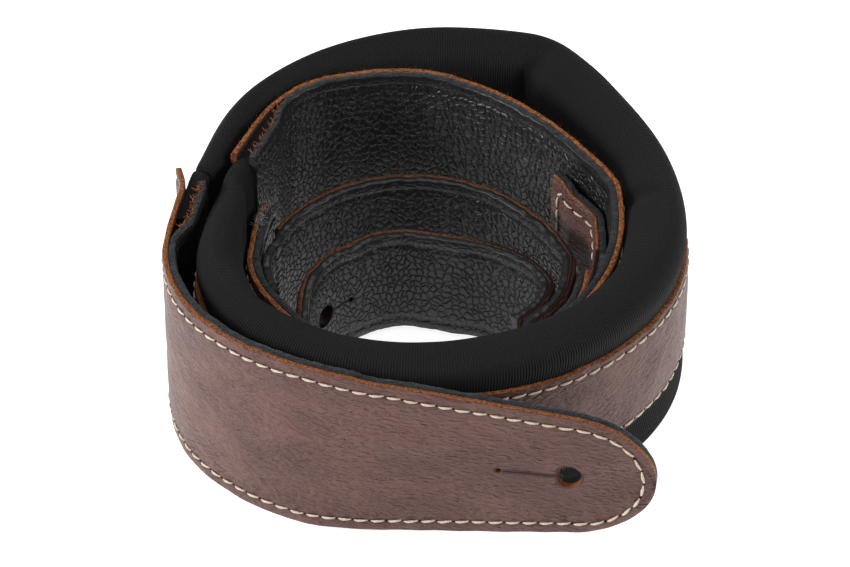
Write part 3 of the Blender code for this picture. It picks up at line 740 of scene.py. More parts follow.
def put(name, vertices, faces, edges=()):
    """A new object with its mesh, at the origin."""
    mesh = bpy.data.meshes.new(name)
    mesh.from_pydata(np.asarray(vertices).tolist(), list(edges), faces)
    item = bpy.data.objects.new(name, mesh)
    bpy.context.scene.collection.objects.link(item)
    return item


def keep(item, name, kind, values, domain="POINT"):
    """Store numbers on a mesh under a name."""
    layer = item.data.attributes.new(name, kind, domain)
    field = "vector" if kind == "FLOAT_VECTOR" else "value"
    layer.data.foreach_set(field, np.asarray(values).ravel())


def ripple(place, size, seed):
    """Soft random waves between -1 and 1, over one or two lengths."""
    draw = np.random.default_rng(seed)
    total = 0.0
    parts = [np.asarray(p, float) for p in (place if isinstance(place, tuple) else (place,))]
    for _ in range(7):
        way = draw.normal(size=len(parts)) * 2 * math.pi / size
        total = total + np.sin(sum(w * p for w, p in zip(way, parts)) + draw.uniform(0, 6.3))
    return total / 4.0


def distance_round(offsets, heights):
    """The way from each ring's first point to its others."""
    size = np.hypot(np.diff(offsets, axis=1), np.diff(heights, axis=1))
    return np.concatenate((np.zeros((len(offsets), 1)), np.cumsum(size, 1)), 1)


class Strap:
    """A strap with its path and edges, and the lines along which its plies are sewn."""

    def __init__(self, path, low, high, seed, insets=(THREAD_INSET, THREAD_INSET), puff=0.0):
        self.path = path
        self.low = low
        self.high = high
        self.seed = seed
        self.insets = insets
        self.puff = puff
        self.roll = 0.22 * MM
        self.tuck = 0.0

    def edge_wave(self, s, raw):
        """How unevenly an edge is cut."""
        return raw * (ripple(s, 16 * MM, self.seed) + 0.5 * ripple(s, 4 * MM, self.seed + 1))

    def face(self, s, z):
        """The brown face: rounded at its edges, pulled in along the stitches."""
        s, z = np.broadcast_arrays(s, z)
        low, high = self.low(s), self.high(s)
        near = np.minimum(z - low, high - z)
        roll = -self.roll * np.clip(1 - near / (2.2 * MM), 0, 1) ** 2
        roll -= self.tuck * np.clip(1 - (z - low) / (self.insets[0] + 0.4 * MM), 0, 1) ** 1.4
        below = (z - low - self.insets[0]) / (0.75 * MM)
        above = (high - z - self.insets[1]) / (0.75 * MM)
        groove = -0.30 * MM * (np.exp(-below**2) + np.exp(-above**2))
        wide = 0.18 * MM * ripple((s, z), 26 * MM, self.seed + 2)
        swell = self.puff * np.clip(1 - (2 * (z - low) / (high - low) - 1) ** 2, 0, 1)
        return roll + groove + wide + swell

    def rows(self, width, step):
        """Shares of the width where rows lie: close at the edges and the stitches."""
        edge = np.array((0, 0.12, 0.35, 0.7, 1.2, 1.9)) * MM
        marks = [edge, width - edge]
        for sewn in (self.insets[0], width - self.insets[1]):
            marks.append(sewn + np.array((-0.9, -0.3, 0.3, 0.9)) * MM)
        marks.append(np.linspace(edge[-1], width - edge[-1], int(width / step)))
        values = np.sort(np.concatenate(marks)) / width
        kept = [values[0]]
        for v in values[1:-1]:
            if v - kept[-1] > 0.1 * MM / width and values[-1] - v > 0.1 * MM / width:
                kept.append(v)
        return np.array([*kept, values[-1]])

    def stations(self, a, b, step, tip=0.0):
        """Lengths along the strap, closer together at a rounded tip."""
        if tip:
            u = np.linspace(0, math.pi / 2, 34)[1:]
            start = tip * (1 - np.cos(u))
            return np.concatenate(([tip * 0.0004], start, np.linspace(
                tip, b, int((b - tip) / step) + 1)[1:]))
        return np.linspace(a, b, max(3, int((b - a) / step) + 1))

    def ply(self, name, s, face, back, step, raw=0.25 * MM):
        """One closed ply between two offsets. Its sides are face, upper edge, back, lower."""
        width = float(np.max(self.high(s) - self.low(s)))
        share = self.rows(width, step)
        n = len(share)
        low = self.low(s) + self.edge_wave(s, raw) * 0.5
        high = self.high(s) + self.edge_wave(s + 0.3, raw)
        z = low[:, None] + (high - low)[:, None] * share
        front = face(s[:, None], z)
        rear = back(s[:, None], z)
        corner = 0.14 * MM
        for rim in (0, -1):
            front[:, rim] -= corner
            rear[:, rim] += corner
        u = np.linspace(0, 1, 6)[1:-1]
        bulge = 0.15 * MM * np.sin(u * math.pi) + 0.12 * MM * ripple(
            (s[:, None], u[None] * 9 * MM), 2.2 * MM, self.seed + 5)
        top_h = front[:, -1:] + (rear[:, -1:] - front[:, -1:]) * u
        low_h = rear[:, :1] + (front[:, :1] - rear[:, :1]) * u
        offsets = np.concatenate((front, top_h, rear[:, ::-1], low_h), 1)
        heights = np.concatenate((z, high[:, None] + bulge, z[:, ::-1], low[:, None] - bulge), 1)
        return self.solid(name, s, offsets, heights, (n, len(u)))

    def solid(self, name, s, offsets, heights, counts):
        """The closed mesh of a ply from its rings of offsets and heights."""
        count, ring = offsets.shape
        plan = self.path.at(s[:, None], offsets)
        points = np.concatenate((plan, heights[..., None]), -1)
        faces, edge = [], []
        n, m = counts
        sides = np.zeros(ring, bool)
        sides[n - 1:n + m] = True
        sides[2 * n + m - 1:] = True
        for i in range(count - 1):
            for k in range(ring):
                j = (k + 1) % ring
                a, b = i * ring, (i + 1) * ring
                faces.append((a + k, b + k, b + j, a + j))
                edge.append(sides[k])
        for first in (0, count - 1):
            cap = [first * ring + k for k in range(ring)]
            faces.append(tuple(cap if first == 0 else cap[::-1]))
            edge.append(True)
        item = put(name, points.reshape(-1, 3), faces)
        around = distance_round(offsets, heights) + heights[:, :1]
        flat = np.stack((np.broadcast_to(s[:, None], around.shape), around,
                         np.full(around.shape, self.seed * 0.37)), -1)
        keep(item, "flat", "FLOAT_VECTOR", flat.reshape(-1, 3))
        z = heights[:, n + m:2 * n + m]
        near = np.minimum(z.max(1, keepdims=True) - z, z - z.min(1, keepdims=True))
        grain = np.zeros((count, ring))
        grain[:, n + m:2 * n + m] = ease(0.2 * MM, 1.2 * MM, near) * (
            0.4 + 0.6 * ease(5 * MM, 7 * MM, near))
        keep(item, "grain", "FLOAT", grain)
        keep(item, "edge", "BOOLEAN", edge, "FACE")
        self.settle(item)
        return item

    @staticmethod
    def settle(item):
        """Turn all faces outwards and shade them smooth."""
        body = bmesh.new()
        body.from_mesh(item.data)
        if body.calc_volume(signed=True) < 0:
            bmesh.ops.reverse_faces(body, faces=body.faces)
        body.to_mesh(item.data)
        body.free()
        item.data.shade_smooth()
        item.data.set_sharp_from_angle(angle=CORNER)


def coat(item, face, edge):
    """Give a ply its two finishes, by which of its faces are cut edges."""
    item.data.materials.append(finish(face))
    item.data.materials.append(finish(edge))
    edges = np.zeros(len(item.data.polygons), bool)
    item.data.attributes["edge"].data.foreach_get("value", edges)
    item.data.polygons.foreach_set("material_index", edges.astype(np.int32))


# ---------------------------------------------------------------- geometry nodes

def new_tree(name, inputs):
    """A geometry tree with its named inputs, and the start of its chain."""
    group = bpy.data.node_groups.new(name, "GeometryNodeTree")
    face = group.interface
    face.new_socket("Geometry", in_out="INPUT", socket_type="NodeSocketGeometry")
    for label, kind in inputs:
        face.new_socket(label, in_out="INPUT", socket_type="NodeSocket" + kind)
    face.new_socket("Geometry", in_out="OUTPUT", socket_type="NodeSocketGeometry")
    tree = Tree(group)
    start = group.nodes.new("NodeGroupInput")
    values = {s.name: Value(tree, s) for s in start.outputs if s.name}
    return tree, values


def end_tree(tree, made):
    last = tree.tree.nodes.new("NodeGroupOutput")
    tree.feed(last.inputs[0], made)
    return tree.tree


def scatter_tree():
    """Copies of a small part along a line, each turned and sized a little at random."""
    tree, given = new_tree("strap_scatter", (
        ("Part", "Object"), ("Spacing", "Float"), ("Turn", "Vector"), ("Spread", "Vector"),
        ("Least", "Float"), ("Most", "Float"), ("Seed", "Int"), ("Finish", "Material")))
    line = tree.node("GeometryNodeMeshToCurve", {}, given["Geometry"])
    line = tree.node("GeometryNodeResampleCurve", {"mode": "LENGTH"}, line,
                     Length=given["Spacing"])
    way = tree.node("GeometryNodeInputTangent")
    out = tree.node("GeometryNodeInputNamedAttribute", {"data_type": "FLOAT_VECTOR"}, "out")
    turn = tree.node("FunctionNodeAlignRotationToVector", {"axis": "X"}, Vector=way)
    turn = tree.node("FunctionNodeAlignRotationToVector",
                     {"axis": "Z", "pivot_axis": "X"}, turn, Vector=out)
    least = tree.vector("MULTIPLY", given["Turn"], (-1, -1, -1))
    jitter = tree.node("FunctionNodeRandomValue", {"data_type": "FLOAT_VECTOR"},
                       least, given["Turn"], Seed=given["Seed"])
    jitter = tree.node("FunctionNodeEulerToRotation", {}, jitter)
    turn = tree.node("FunctionNodeRotateRotation", {"rotation_space": "LOCAL"}, turn, jitter)
    back = tree.vector("MULTIPLY", given["Spread"], (-1, -1, -1))
    shift = tree.node("FunctionNodeRandomValue", {"data_type": "FLOAT_VECTOR"},
                      back, given["Spread"], Seed=given["Seed"] + 7)
    line = tree.node("GeometryNodeSetPosition", {}, line, Offset=shift)
    size = tree.node("FunctionNodeRandomValue", {"data_type": "FLOAT"},
                     Seed=given["Seed"] + 11, out=1)
    random = size.socket.node
    tree.feed(random.inputs[2], given["Least"])
    tree.feed(random.inputs[3], given["Most"])
    part = tree.node("GeometryNodeObjectInfo", {}, given["Part"], out=4)
    made = tree.node("GeometryNodeInstanceOnPoints", {}, line, Instance=part,
                     Rotation=turn, Scale=size)
    made = tree.node("GeometryNodeRealizeInstances", {}, made)
    made = tree.node("GeometryNodeSetMaterial", {}, made, Material=given["Finish"])
    return end_tree(tree, made)


def pebble_tree():
    """Raise round pebbles on a lining's grain side, and give it its two finishes."""
    tree, given = new_tree("strap_pebbles", (
        ("Size", "Float"), ("Depth", "Float"), ("Grain", "Material"), ("Edge", "Material")))
    place = tree.node("GeometryNodeInputNamedAttribute", {"data_type": "FLOAT_VECTOR"}, "flat")
    share = tree.node("GeometryNodeInputNamedAttribute", {"data_type": "FLOAT"}, "grain")
    height = (tree.pebbles(place, given["Size"]) - 0.6) * given["Depth"] * 0.3 * share
    normal = tree.node("GeometryNodeInputNormal")
    push = tree.node("ShaderNodeVectorMath", {"operation": "SCALE"}, normal, Scale=height)
    made = tree.node("GeometryNodeSetPosition", {}, given["Geometry"], Offset=push)
    made = tree.node("GeometryNodeRealizeInstances", {}, made)
    made = tree.node("GeometryNodeSetMaterial", {}, made, Material=given["Grain"])
    cut = tree.node("GeometryNodeInputNamedAttribute", {"data_type": "BOOLEAN"}, "edge")
    made = tree.node("GeometryNodeSetMaterial", {}, made, cut, given["Edge"])
    return end_tree(tree, made)


TREES = {}


def through(item, maker, inputs):
    """Run an object's mesh through a geometry tree, with the tree's inputs by name."""
    if maker not in TREES:
        TREES[maker] = maker()
    group = TREES[maker]
    step = item.modifiers.new("made", "NODES")
    step.node_group = group
    for socket in group.interface.items_tree:
        if socket.in_out == "INPUT" and socket.name in inputs:
            step[socket.identifier] = inputs[socket.name]
    bake(item)
    item.data.shade_smooth()
    item.data.set_sharp_from_angle(angle=CORNER)
    return item


def pebbled(item, edge="lining_edge"):
    return through(item, pebble_tree, {
        "Size": sizes().pebble_size, "Depth": sizes().pebble_depth,
        "Grain": finish("lining"), "Edge": finish(edge)})


def bake(item):
    """Take an object's modifiers up into its mesh."""
    bpy.context.view_layer.update()
    graph = bpy.context.evaluated_depsgraph_get()
    mesh = bpy.data.meshes.new_from_object(item.evaluated_get(graph), depsgraph=graph)
    item.modifiers.clear()
    old = item.data
    item.data = mesh
    bpy.data.meshes.remove(old)


def join(name, items):
    """One object from several, with all their finishes."""
    body = bmesh.new()
    finishes = []
    for item in items:
        used = list(item.data.materials)
        start = len(body.faces)
        body.from_mesh(item.data)
        body.faces.ensure_lookup_table()
        for f in body.faces[start:]:
            material = used[min(f.material_index, len(used) - 1)]
            if material not in finishes:
                finishes.append(material)
            f.material_index = finishes.index(material)
    mesh = bpy.data.meshes.new(name)
    for material in finishes:
        mesh.materials.append(material)
    body.to_mesh(mesh)
    body.free()
    for item in items:
        bpy.data.objects.remove(item)
    joined = bpy.data.objects.new(name, mesh)
    bpy.context.scene.collection.objects.link(joined)
    mesh.shade_smooth()
    return joined


# ---------------------------------------------------------------- small repeated parts

PARTS = {}


def small_part(name, maker):
    """A part that is only copied, kept out of the scene."""
    if name not in PARTS:
        item = maker()
        bpy.context.scene.collection.objects.unlink(item)
        PARTS[name] = item
    return PARTS[name]


def closed_tube(name, points, rings, sides):
    """A part from rings of points, with a face across each end."""
    faces = [(i * sides + k, i * sides + (k + 1) % sides, (i + 1) * sides + (k + 1) % sides,
              (i + 1) * sides + k) for i in range(rings - 1) for k in range(sides)]
    faces.append(tuple(reversed(range(sides))))
    faces.append(tuple((rings - 1) * sides + k for k in range(sides)))
    item = put(name, points, faces)
    Strap.settle(item)
    return item


def shred():
    return small_part("shred", lambda: fibre_part(SHRED_GIRTH))


def stitch_part():
    """One stitch: a fat lens of twisted thread that dips into its holes at both ends."""
    length, width = sizes().stitch_length, sizes().thread_width
    rings, sides = 9, 8
    points = []
    for i in range(rings):
        u = -1 + 2 * i / (rings - 1)
        lift = 0.62 * width * (1 - abs(u) ** 2.6) - 0.25 * width
        girth = width / 2 * (1 - 0.62 * abs(u) ** 3)
        twist = 2.4 * u
        for k in range(sides):
            a = 2 * math.pi * k / sides
            swell = 1 + 0.13 * math.cos(2 * (a - twist))
            y = girth * swell * math.cos(a)
            z = girth * swell * 0.72 * math.sin(a) + lift
            slant = 0.09 * u * length / 2
            points.append((u * length / 2, y + slant, z))
    return closed_tube("stitch_part", points, rings, sides)


def hole_part():
    """The needle hole between two stitches: a shallow dark lens of painted shade that stands for
    the hole's recess.
    """
    half = sizes().stitch_pitch / 2
    long, wide, rise = 0.62 * MM, 0.42 * MM, 0.10 * MM
    sides = 10
    points = [(half, 0, rise)]
    for reach, z in ((0.6, rise * 0.8), (1.0, -0.12 * MM)):
        for k in range(sides):
            a = 2 * math.pi * k / sides
            points.append((half + long * reach * math.cos(a), wide * reach * math.sin(a), z))
    points.append((half, 0, -0.3 * MM))
    faces = [(0, 1 + k, 1 + (k + 1) % sides) for k in range(sides)]
    faces += [(1 + k, 1 + sides + k, 1 + sides + (k + 1) % sides, 1 + (k + 1) % sides)
              for k in range(sides)]
    last = 1 + 2 * sides
    faces += [(last, 1 + sides + (k + 1) % sides, 1 + sides + k) for k in range(sides)]
    item = put("hole_part", points, faces)
    Strap.settle(item)
    return item


def fibre_part(girth=0.045):
    """One loose fibre, a thin bent blade that stands up."""
    bends, sides = 5, 3
    root = girth
    points = []
    for i in range(bends):
        u = i / (bends - 1)
        girth = root * (1 - 0.7 * u)
        for k in range(sides):
            a = 2 * math.pi * k / sides
            points.append((0.55 * u**2 + girth * math.cos(a), 0.15 * math.sin(3 * u)
                           + girth * math.sin(a), u - 0.15))
    return closed_tube("fibre_part", points, bends, sides)


def line_object(points, out):
    """A line of edges that the scatter tree follows, with the way that its parts face."""
    item = put("guide", points, [], [(i, i + 1) for i in range(len(points) - 1)])
    keep(item, "out", "FLOAT_VECTOR", out)
    return item


def scatter(points, out, part, spacing, look, turn=(0, 0, 0), spread=(0, 0, 0),
            least=1.0, most=1.0, seed=1):
    """Copies of a part along one line."""
    item = line_object(points, out)
    return through(item, scatter_tree, {
        "Part": part, "Spacing": spacing, "Turn": turn, "Spread": spread, "Least": least,
        "Most": most, "Seed": seed, "Finish": finish(look)})


def surface_line(strap, s, z, lift=0.0):
    """Points and facings on a strap's brown face, along lengths and heights."""
    h = strap.face(s, z) + lift
    points = np.concatenate((strap.path.at(s, h), z[:, None]), -1)
    out = np.concatenate((strap.path.facing(s), np.zeros((len(s), 1))), -1)
    return points, out


def raw_fuzz(name, strap, s, spacing=1.5 * MM):
    """Sparse orange fibres along the outer leather's upper edge."""
    return fuzz(name, strap, s, -LEATHER * 0.5, strap.high(s) + 0.1 * MM, "raw_fibre",
                1.5 * MM, spacing, strap.seed, 1.0, 0.7 * MM)


def stitches(name, strap, routes):
    """Rows of stitches with dark lenses of painted shade at their needle holes; routes are
    (lengths, heights) pairs.
    """
    made = []
    thread, hole = small_part("stitch", stitch_part), small_part("hole", hole_part)
    for s, z in routes:
        points, out = surface_line(strap, s, z, 0.08 * MM)
        pitch = sizes().stitch_pitch
        made.append(scatter(points, out, thread, pitch, "thread", (0.03, 0.04, 0.07),
                            least=0.95, most=1.04, seed=strap.seed))
        made.append(scatter(points, out, hole, pitch, "hole", seed=strap.seed))
    return join(name, made)


def fuzz(name, strap, s, h, z, look, length, spacing, seed, turn=1.0, spread=0.4 * MM,
         thick=False):
    """Loose fibres along a line at lengths s, offsets h and heights z."""
    plan = strap.path.at(s, h)
    points = np.concatenate((plan, np.broadcast_to(z, s.shape)[:, None]), -1)
    up = np.tile((0.0, 0.0, 1.0), (len(s), 1))
    part = shred() if thick else small_part("fibre", fibre_part)
    item = scatter(points, up, part, spacing, look, (turn, turn, 3.1),
                   (spread, spread, 0.1 * MM), length * 0.4, length, seed)
    item.name = name
    return item


def lining_fuzz(name, strap, s, h, seed):
    """Short dark fibres along a lining's upper edge."""
    return fuzz(name, strap, s, h, strap.high(s), "lining_fibre", sizes().fibre_length,
                0.5 * MM, seed, 0.9, 0.9 * MM)


# ---------------------------------------------------------------- button holes

def button_hole(item, strap, length, slit, middle_z):
    """Cut the hole, its slit and the relief hole, and leave raw leather in the cut."""
    here = strap.path.at(length, 0.0)
    there = strap.path.at(length + HOLE_REACH, 0.0)
    along = (there - here) / np.linalg.norm(there - here)
    out = np.array((-along[1], along[0]))
    outline = []
    half = 0.16 * MM
    gap = math.asin(half / HOLE_RADIUS)
    for k in range(33):
        a = gap + (2 * math.pi - 2 * gap) * k / 32
        outline.append((HOLE_RADIUS * math.cos(a), HOLE_RADIUS * math.sin(a)))
    gap = math.asin(half / RELIEF_RADIUS)
    for k in range(13):
        a = math.pi + gap + (2 * math.pi - 2 * gap) * k / 12
        outline.append((slit + RELIEF_RADIUS * math.cos(a), RELIEF_RADIUS * math.sin(a)))
    points = []
    for d in (-9 * MM, 9 * MM):
        points += [(here[0] + along[0] * u + out[0] * d, here[1] + along[1] * u + out[1] * d,
                    middle_z + v) for u, v in outline]
    n = len(outline)
    faces = [(k, (k + 1) % n, n + (k + 1) % n, n + k) for k in range(n)]
    faces += [tuple(reversed(range(n))), tuple(range(n, 2 * n))]
    cutter = put("cutter", points, faces)
    body = bmesh.new()
    body.from_mesh(cutter.data)
    bmesh.ops.recalc_face_normals(body, faces=body.faces)
    body.to_mesh(cutter.data)
    body.free()
    step = item.modifiers.new("hole", "BOOLEAN")
    step.operation = "DIFFERENCE"
    step.solver = "EXACT"
    step.object = cutter
    bake(item)
    bpy.data.objects.remove(cutter)
    side = np.array((out[0], out[1], 0))
    centre = np.array((here[0], here[1], middle_z))
    way = np.array((along[0], along[1], 0))
    edge = item.data.attributes["edge"]
    for f in item.data.polygons:
        off = np.array(f.center) - centre
        if abs(np.array(f.normal) @ side) < 0.4:
            reach = math.hypot(off @ way, off[2])
            relief = math.hypot(off @ way - slit, off[2])
            if reach < HOLE_RADIUS + 0.3 * MM or relief < RELIEF_RADIUS + 0.3 * MM:
                edge.data[f.index].value = True


# ---------------------------------------------------------------- finished pieces

def place(item, body, slot, *nodes):
    """Let a finished piece move with its body and stand for its frame solids."""
    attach(item, body)
    if nodes:
        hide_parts(*nodes)
    return item


def bend(parts, body, line):
    """Hide each piece's frame solid and bake its transform into its mesh."""
    for item, slot, node in parts:
        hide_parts(node)
        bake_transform(item)


def fixed(value):
    return lambda s: np.full(np.shape(s), value, float)


def outer_ply(strap, name, s, step=LEATHER_STEP):
    """The brown leather of a strap."""
    back = lambda a, z: np.full(np.broadcast(a, z).shape, -LEATHER)
    return strap.ply(name, s, strap.face, back, step)


def lining_faces(strap, opened=None):
    """The two sides of a strap's lining, which can stand away from its leather."""
    away = opened or (lambda s: np.zeros(np.shape(s)))

    def face(s, z):
        return np.broadcast_to(-(LEATHER + TOUCH) - away(s), np.broadcast(s, z).shape).copy()

    def back(s, z):
        s, z = np.broadcast_arrays(s, z)
        low, high = strap.low(s), strap.high(s)
        near = np.minimum(z - low, high - z)
        roll = 0.35 * MM * np.clip(1 - near / (2.2 * MM), 0, 1) ** 2
        groove = 0.45 * MM * np.exp(-((near - strap.insets[0]) / (1.0 * MM)) ** 2)
        soft = 0.25 * MM * ripple((s, z * 0.4), 13 * MM, strap.seed + 3)
        return -PLY - away(s) + roll + groove + soft

    return face, back


def lining_ply(strap, name, s, step=PEBBLE_STEP, opened=None, raw=0.4 * MM):
    face, back = lining_faces(strap, opened)
    return strap.ply(name, s, face, back, step, raw)


def side_rows(strap, a, b):
    """The two straight rows of stitches of a strap."""
    s = np.arange(a, b, ROW_STEP)
    return [(s, strap.high(s) - strap.insets[1]), (s, strap.low(s) + strap.insets[0])]


# ---------------------------------------------------------------- front tab

def tab_half(s):
    """Half the front tab's width at a length from its tip."""
    wide = np.minimum(TAB_WIDTH, TAB_TIP_WIDTH + TAB_TAPER * s)
    u = np.clip(1 - s / TAB_TIP_LENGTH, 0, 1)
    return wide / 2 * np.sqrt(np.maximum(0.0008, 1 - u * u))


def tab_strap():
    low = lambda s: TAB_MIDDLE_Z - tab_half(s)
    high = lambda s: TAB_MIDDLE_Z + tab_half(s)
    return Strap(tab_path(), low, high, 11)


def tab_opening(path):
    """How far the lining stands away from the leather, towards the mouth."""
    parts, apart = (path.length_at(t) for t in TAB_MOUTH)
    return lambda s: (TONGUE + SEWN_GAP) * ease(parts, apart, s)


def tab_row(strap, end):
    """The stitches' way along the lower edge, round the tip and back along the upper."""
    side = np.arange(TAB_TIP_LENGTH, end, ROW_STEP)
    half = tab_half(side) - THREAD_INSET
    a = np.linspace(0, math.pi, 90)[1:-1]
    rise = tab_half(np.array(TAB_TIP_LENGTH)) - THREAD_INSET
    reach = TAB_TIP_LENGTH - THREAD_INSET
    s = np.concatenate((side[::-1], TAB_TIP_LENGTH - reach * np.sin(a), side))
    z = np.concatenate((-half[::-1], -rise * np.cos(a), half)) + TAB_MIDDLE_Z
    return [(s, z)]


def throat():
    """The flat end of the pad's sleeve, sewn into the front tab's mouth."""
    item = loft("pad_throat", turns(*THROAT_SPAN, 0.7), throat_radius, 10)
    item.data.materials.append(finish("knit"))
    return item


class STRAP_OT_front_tab(bpy.types.Operator):
    """Build the front tab with its lining, stitches, button hole and sewn mouth"""

    bl_idname = "strap.front_tab"
    bl_label = "Front tab"

    def execute(self, context):
        strap = tab_strap()
        path = strap.path
        s = strap.stations(0, path.length, LEATHER_STEP, TAB_TIP_LENGTH)
        outer = outer_ply(strap, "tab_outer_leather", s)
        button_hole(outer, strap, HOLE_FROM_TIP, SLIT_LENGTH, TAB_MIDDLE_Z)
        coat(outer, "brown", "raw")
        opened = tab_opening(path)
        end = path.length_at(TAB_LINING_END)
        s = strap.stations(0, end, TAB_LINING_STEP, TAB_TIP_LENGTH)
        inside = lining_ply(strap, "tab_lining_leather", s, TAB_LINING_STEP, opened)
        button_hole(inside, strap, HOLE_FROM_TIP, SLIT_LENGTH, TAB_MIDDLE_Z)
        pebbled(inside)
        rows = stitches("tab_stitches", strap, tab_row(strap, path.length_at(103.0)))
        sleeve = throat()
        place(outer, "front_tab", "brown_leather", "front_tab_leather")
        place(inside, "front_tab", "black_lining", "front_tab_lining")
        place(rows, "front_tab", "thread", "front_tab_thread")
        place(self.frayed(strap, opened), "front_tab", "brown_leather")
        s = np.arange(TAB_TIP_LENGTH, path.length, FIBRE_STEP)
        place(raw_fuzz("tab_raw_fibres", strap, s), "front_tab", "brown_leather")
        place(self.edge_fuzz(strap, opened, end), "front_tab", "black_lining")
        place(self.hole_fuzz(strap), "front_tab", "brown_leather")
        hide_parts("front_pad_tongue")
        start, stop = (on_coil(t, tab_radius(t)) for t in (102.0, 111.5))
        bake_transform(sleeve)
        return {"FINISHED"}

    def hole_fuzz(self, strap):
        """Orange fibres that the button's head has pulled out of the hole's wall."""
        a = np.linspace(-1.3, 1.5, 40)
        s = HOLE_FROM_TIP + (HOLE_RADIUS - 0.3 * MM) * np.cos(a)
        z = TAB_MIDDLE_Z - (HOLE_RADIUS - 0.3 * MM) * np.sin(a)
        plan = strap.path.at(s, -0.9 * MM)
        points = np.concatenate((plan, z[:, None]), -1)
        out = np.concatenate((strap.path.facing(s), np.zeros((len(s), 1))), -1)
        item = scatter(points, out, shred(), 0.35 * MM, "raw_fibre",
                       (1.0, 1.0, 3.1), (0.25 * MM,) * 3, 0.6 * MM, 1.4 * MM, 3)
        item.name = "tab_hole_fibres"
        return item

    def frayed(self, strap, opened):
        """Orange fibres that stand up where the lining was torn open for the pad."""
        path = strap.path
        s = np.arange(path.length_at(88), path.length_at(105), TORN_STEP)
        h = -(LEATHER + 0.35 * MM) - opened(s)
        z = strap.high(s) - 0.7 * MM
        return fuzz("tab_torn_fibres", strap, s, h, z, "raw_fibre", 2.6 * MM, 0.3 * MM, 5,
                    1.1, 0.45 * MM, True)

    def edge_fuzz(self, strap, opened, end):
        s = np.arange(TAB_TIP_LENGTH, end, FIBRE_STEP)
        h = -LEATHER - LINING * 0.55 - opened(s)
        return lining_fuzz("tab_edge_fibres", strap, s, h, 6)


# ---------------------------------------------------------------- pad

def pad_inset(t):
    full = ease(107, 135, t) * (1 - ease(452, 481, t))
    return PAD_INSET * (1 - full)


PAD_ROWS = 9  # up each side of the sleeve
PAD_STEP = 2.2  # degrees between two rings of the sleeve
PAD_DENTS = ((203.0, 2.6 * MM, 2.2, 0.9), (256.0, 2.6 * MM, 3.0, 1.1),
             (240.0, 0.9 * MM, 5.0, 0.0), (305.0, 0.5 * MM, 6.0, -0.4))


def loft(name, t, radius, half_ring):
    """A closed-ring sleeve over angles round the coil, with its flat coordinates."""
    thick = pad_thickness(t)
    centre = radius(t) - thick / 2 * steepness(radius, t)
    line = Path(on_coil(t, centre), t, 1.0 * MM)
    s = np.linspace(0, line.length, len(t))
    mark = line.mark_at(s)
    half = pad_thickness(mark) / 2
    low = pad_inset(mark) + half
    high = PAD_HEIGHT - pad_inset(mark) - half
    a = np.linspace(0, math.pi, half_ring + 1)[:-1]
    offsets, heights = [], []
    up = np.linspace(0, 1, PAD_ROWS + 1)[:-1]
    for u in up:
        offsets.append(half)
        heights.append(low + (high - low) * u)
    for x in a:
        offsets.append(half * np.cos(x))
        heights.append(high + half * np.sin(x))
    for u in up:
        offsets.append(-half)
        heights.append(high + (low - high) * u)
    for x in a:
        offsets.append(-half * np.cos(x))
        heights.append(low - half * np.sin(x))
    offsets, heights = np.array(offsets).T, np.array(heights).T
    beside = np.abs(heights - STRIP_MIDDLE_Z) - STRIP_WIDTH / 2
    share = smooth(PAD_FULLNESS, mark)[:, None]
    offsets += PAD_SWELL * share * (offsets > 0) * ease(0.8 * MM, 7 * MM, beside)
    offsets -= 0.8 * MM * share * (offsets < 0) * ease(36 * MM, 50 * MM, heights)
    plan = line.at(s[:, None], offsets)
    points = np.concatenate((plan, heights[..., None]), -1)
    count, ring = offsets.shape
    faces = [(i * ring + k, (i + 1) * ring + k, (i + 1) * ring + (k + 1) % ring,
              i * ring + (k + 1) % ring) for i in range(count - 1) for k in range(ring)]
    faces.append(tuple(range(ring)))
    faces.append(tuple((count - 1) * ring + k for k in reversed(range(ring))))
    item = put(name, points.reshape(-1, 3), faces)
    around = distance_round(offsets, heights)
    outer = radius(mark)
    way = np.concatenate(([0], np.cumsum((outer[1:] + outer[:-1]) / 2
                                         * np.radians(np.diff(mark)))))
    keep(item, "flat", "FLOAT_VECTOR", np.stack((
        np.broadcast_to(way[:, None], around.shape), around, 0 * around), -1).reshape(-1, 3))
    Strap.settle(item)
    return item


def pad_base():
    """The pad before it is filled, a little slimmer."""
    t = turns(THROAT_SPAN[1], PAD_END, PAD_STEP)
    return loft("knit_pad", t, lambda x: pad_radius(x) - 0.15 * MM, 6)


def dent(item):
    """Press the creases of the sharp bends into the pad's rim and inner side."""
    mesh = item.data
    points = np.zeros(len(mesh.vertices) * 3)
    mesh.vertices.foreach_get("co", points)
    points = points.reshape(-1, 3)
    off = points[:, :2] - COIL_MIDDLE
    turn = np.degrees(np.arctan2(-off[:, 0], -off[:, 1])) % 360
    reach = np.hypot(*off.T)
    for at, depth, width, slant in PAD_DENTS:
        first = np.abs(turn - at) < 30
        middle = pad_radius(turn) - pad_thickness(turn) / 2
        outer_pass = reach > middle - PAD_THICKNESS
        lean = at + slant * (points[:, 2] - PAD_HEIGHT) / MM * 0.2
        fall = np.exp(-((turn - lean) / width) ** 2)
        inside = ease(0.0, 1.0, (middle + 5 * MM - reach) / (8 * MM))
        top = ease(20 * MM, PAD_HEIGHT, points[:, 2])
        push = depth * fall * inside * first * outer_pass * (0.35 + 0.65 * top)
        points[:, :2] += off / reach[:, None] * push[:, None]
        points[:, 2] -= 0.45 * push * ease(PAD_HEIGHT - 7 * MM, PAD_HEIGHT, points[:, 2])
    mesh.vertices.foreach_set("co", points.ravel())


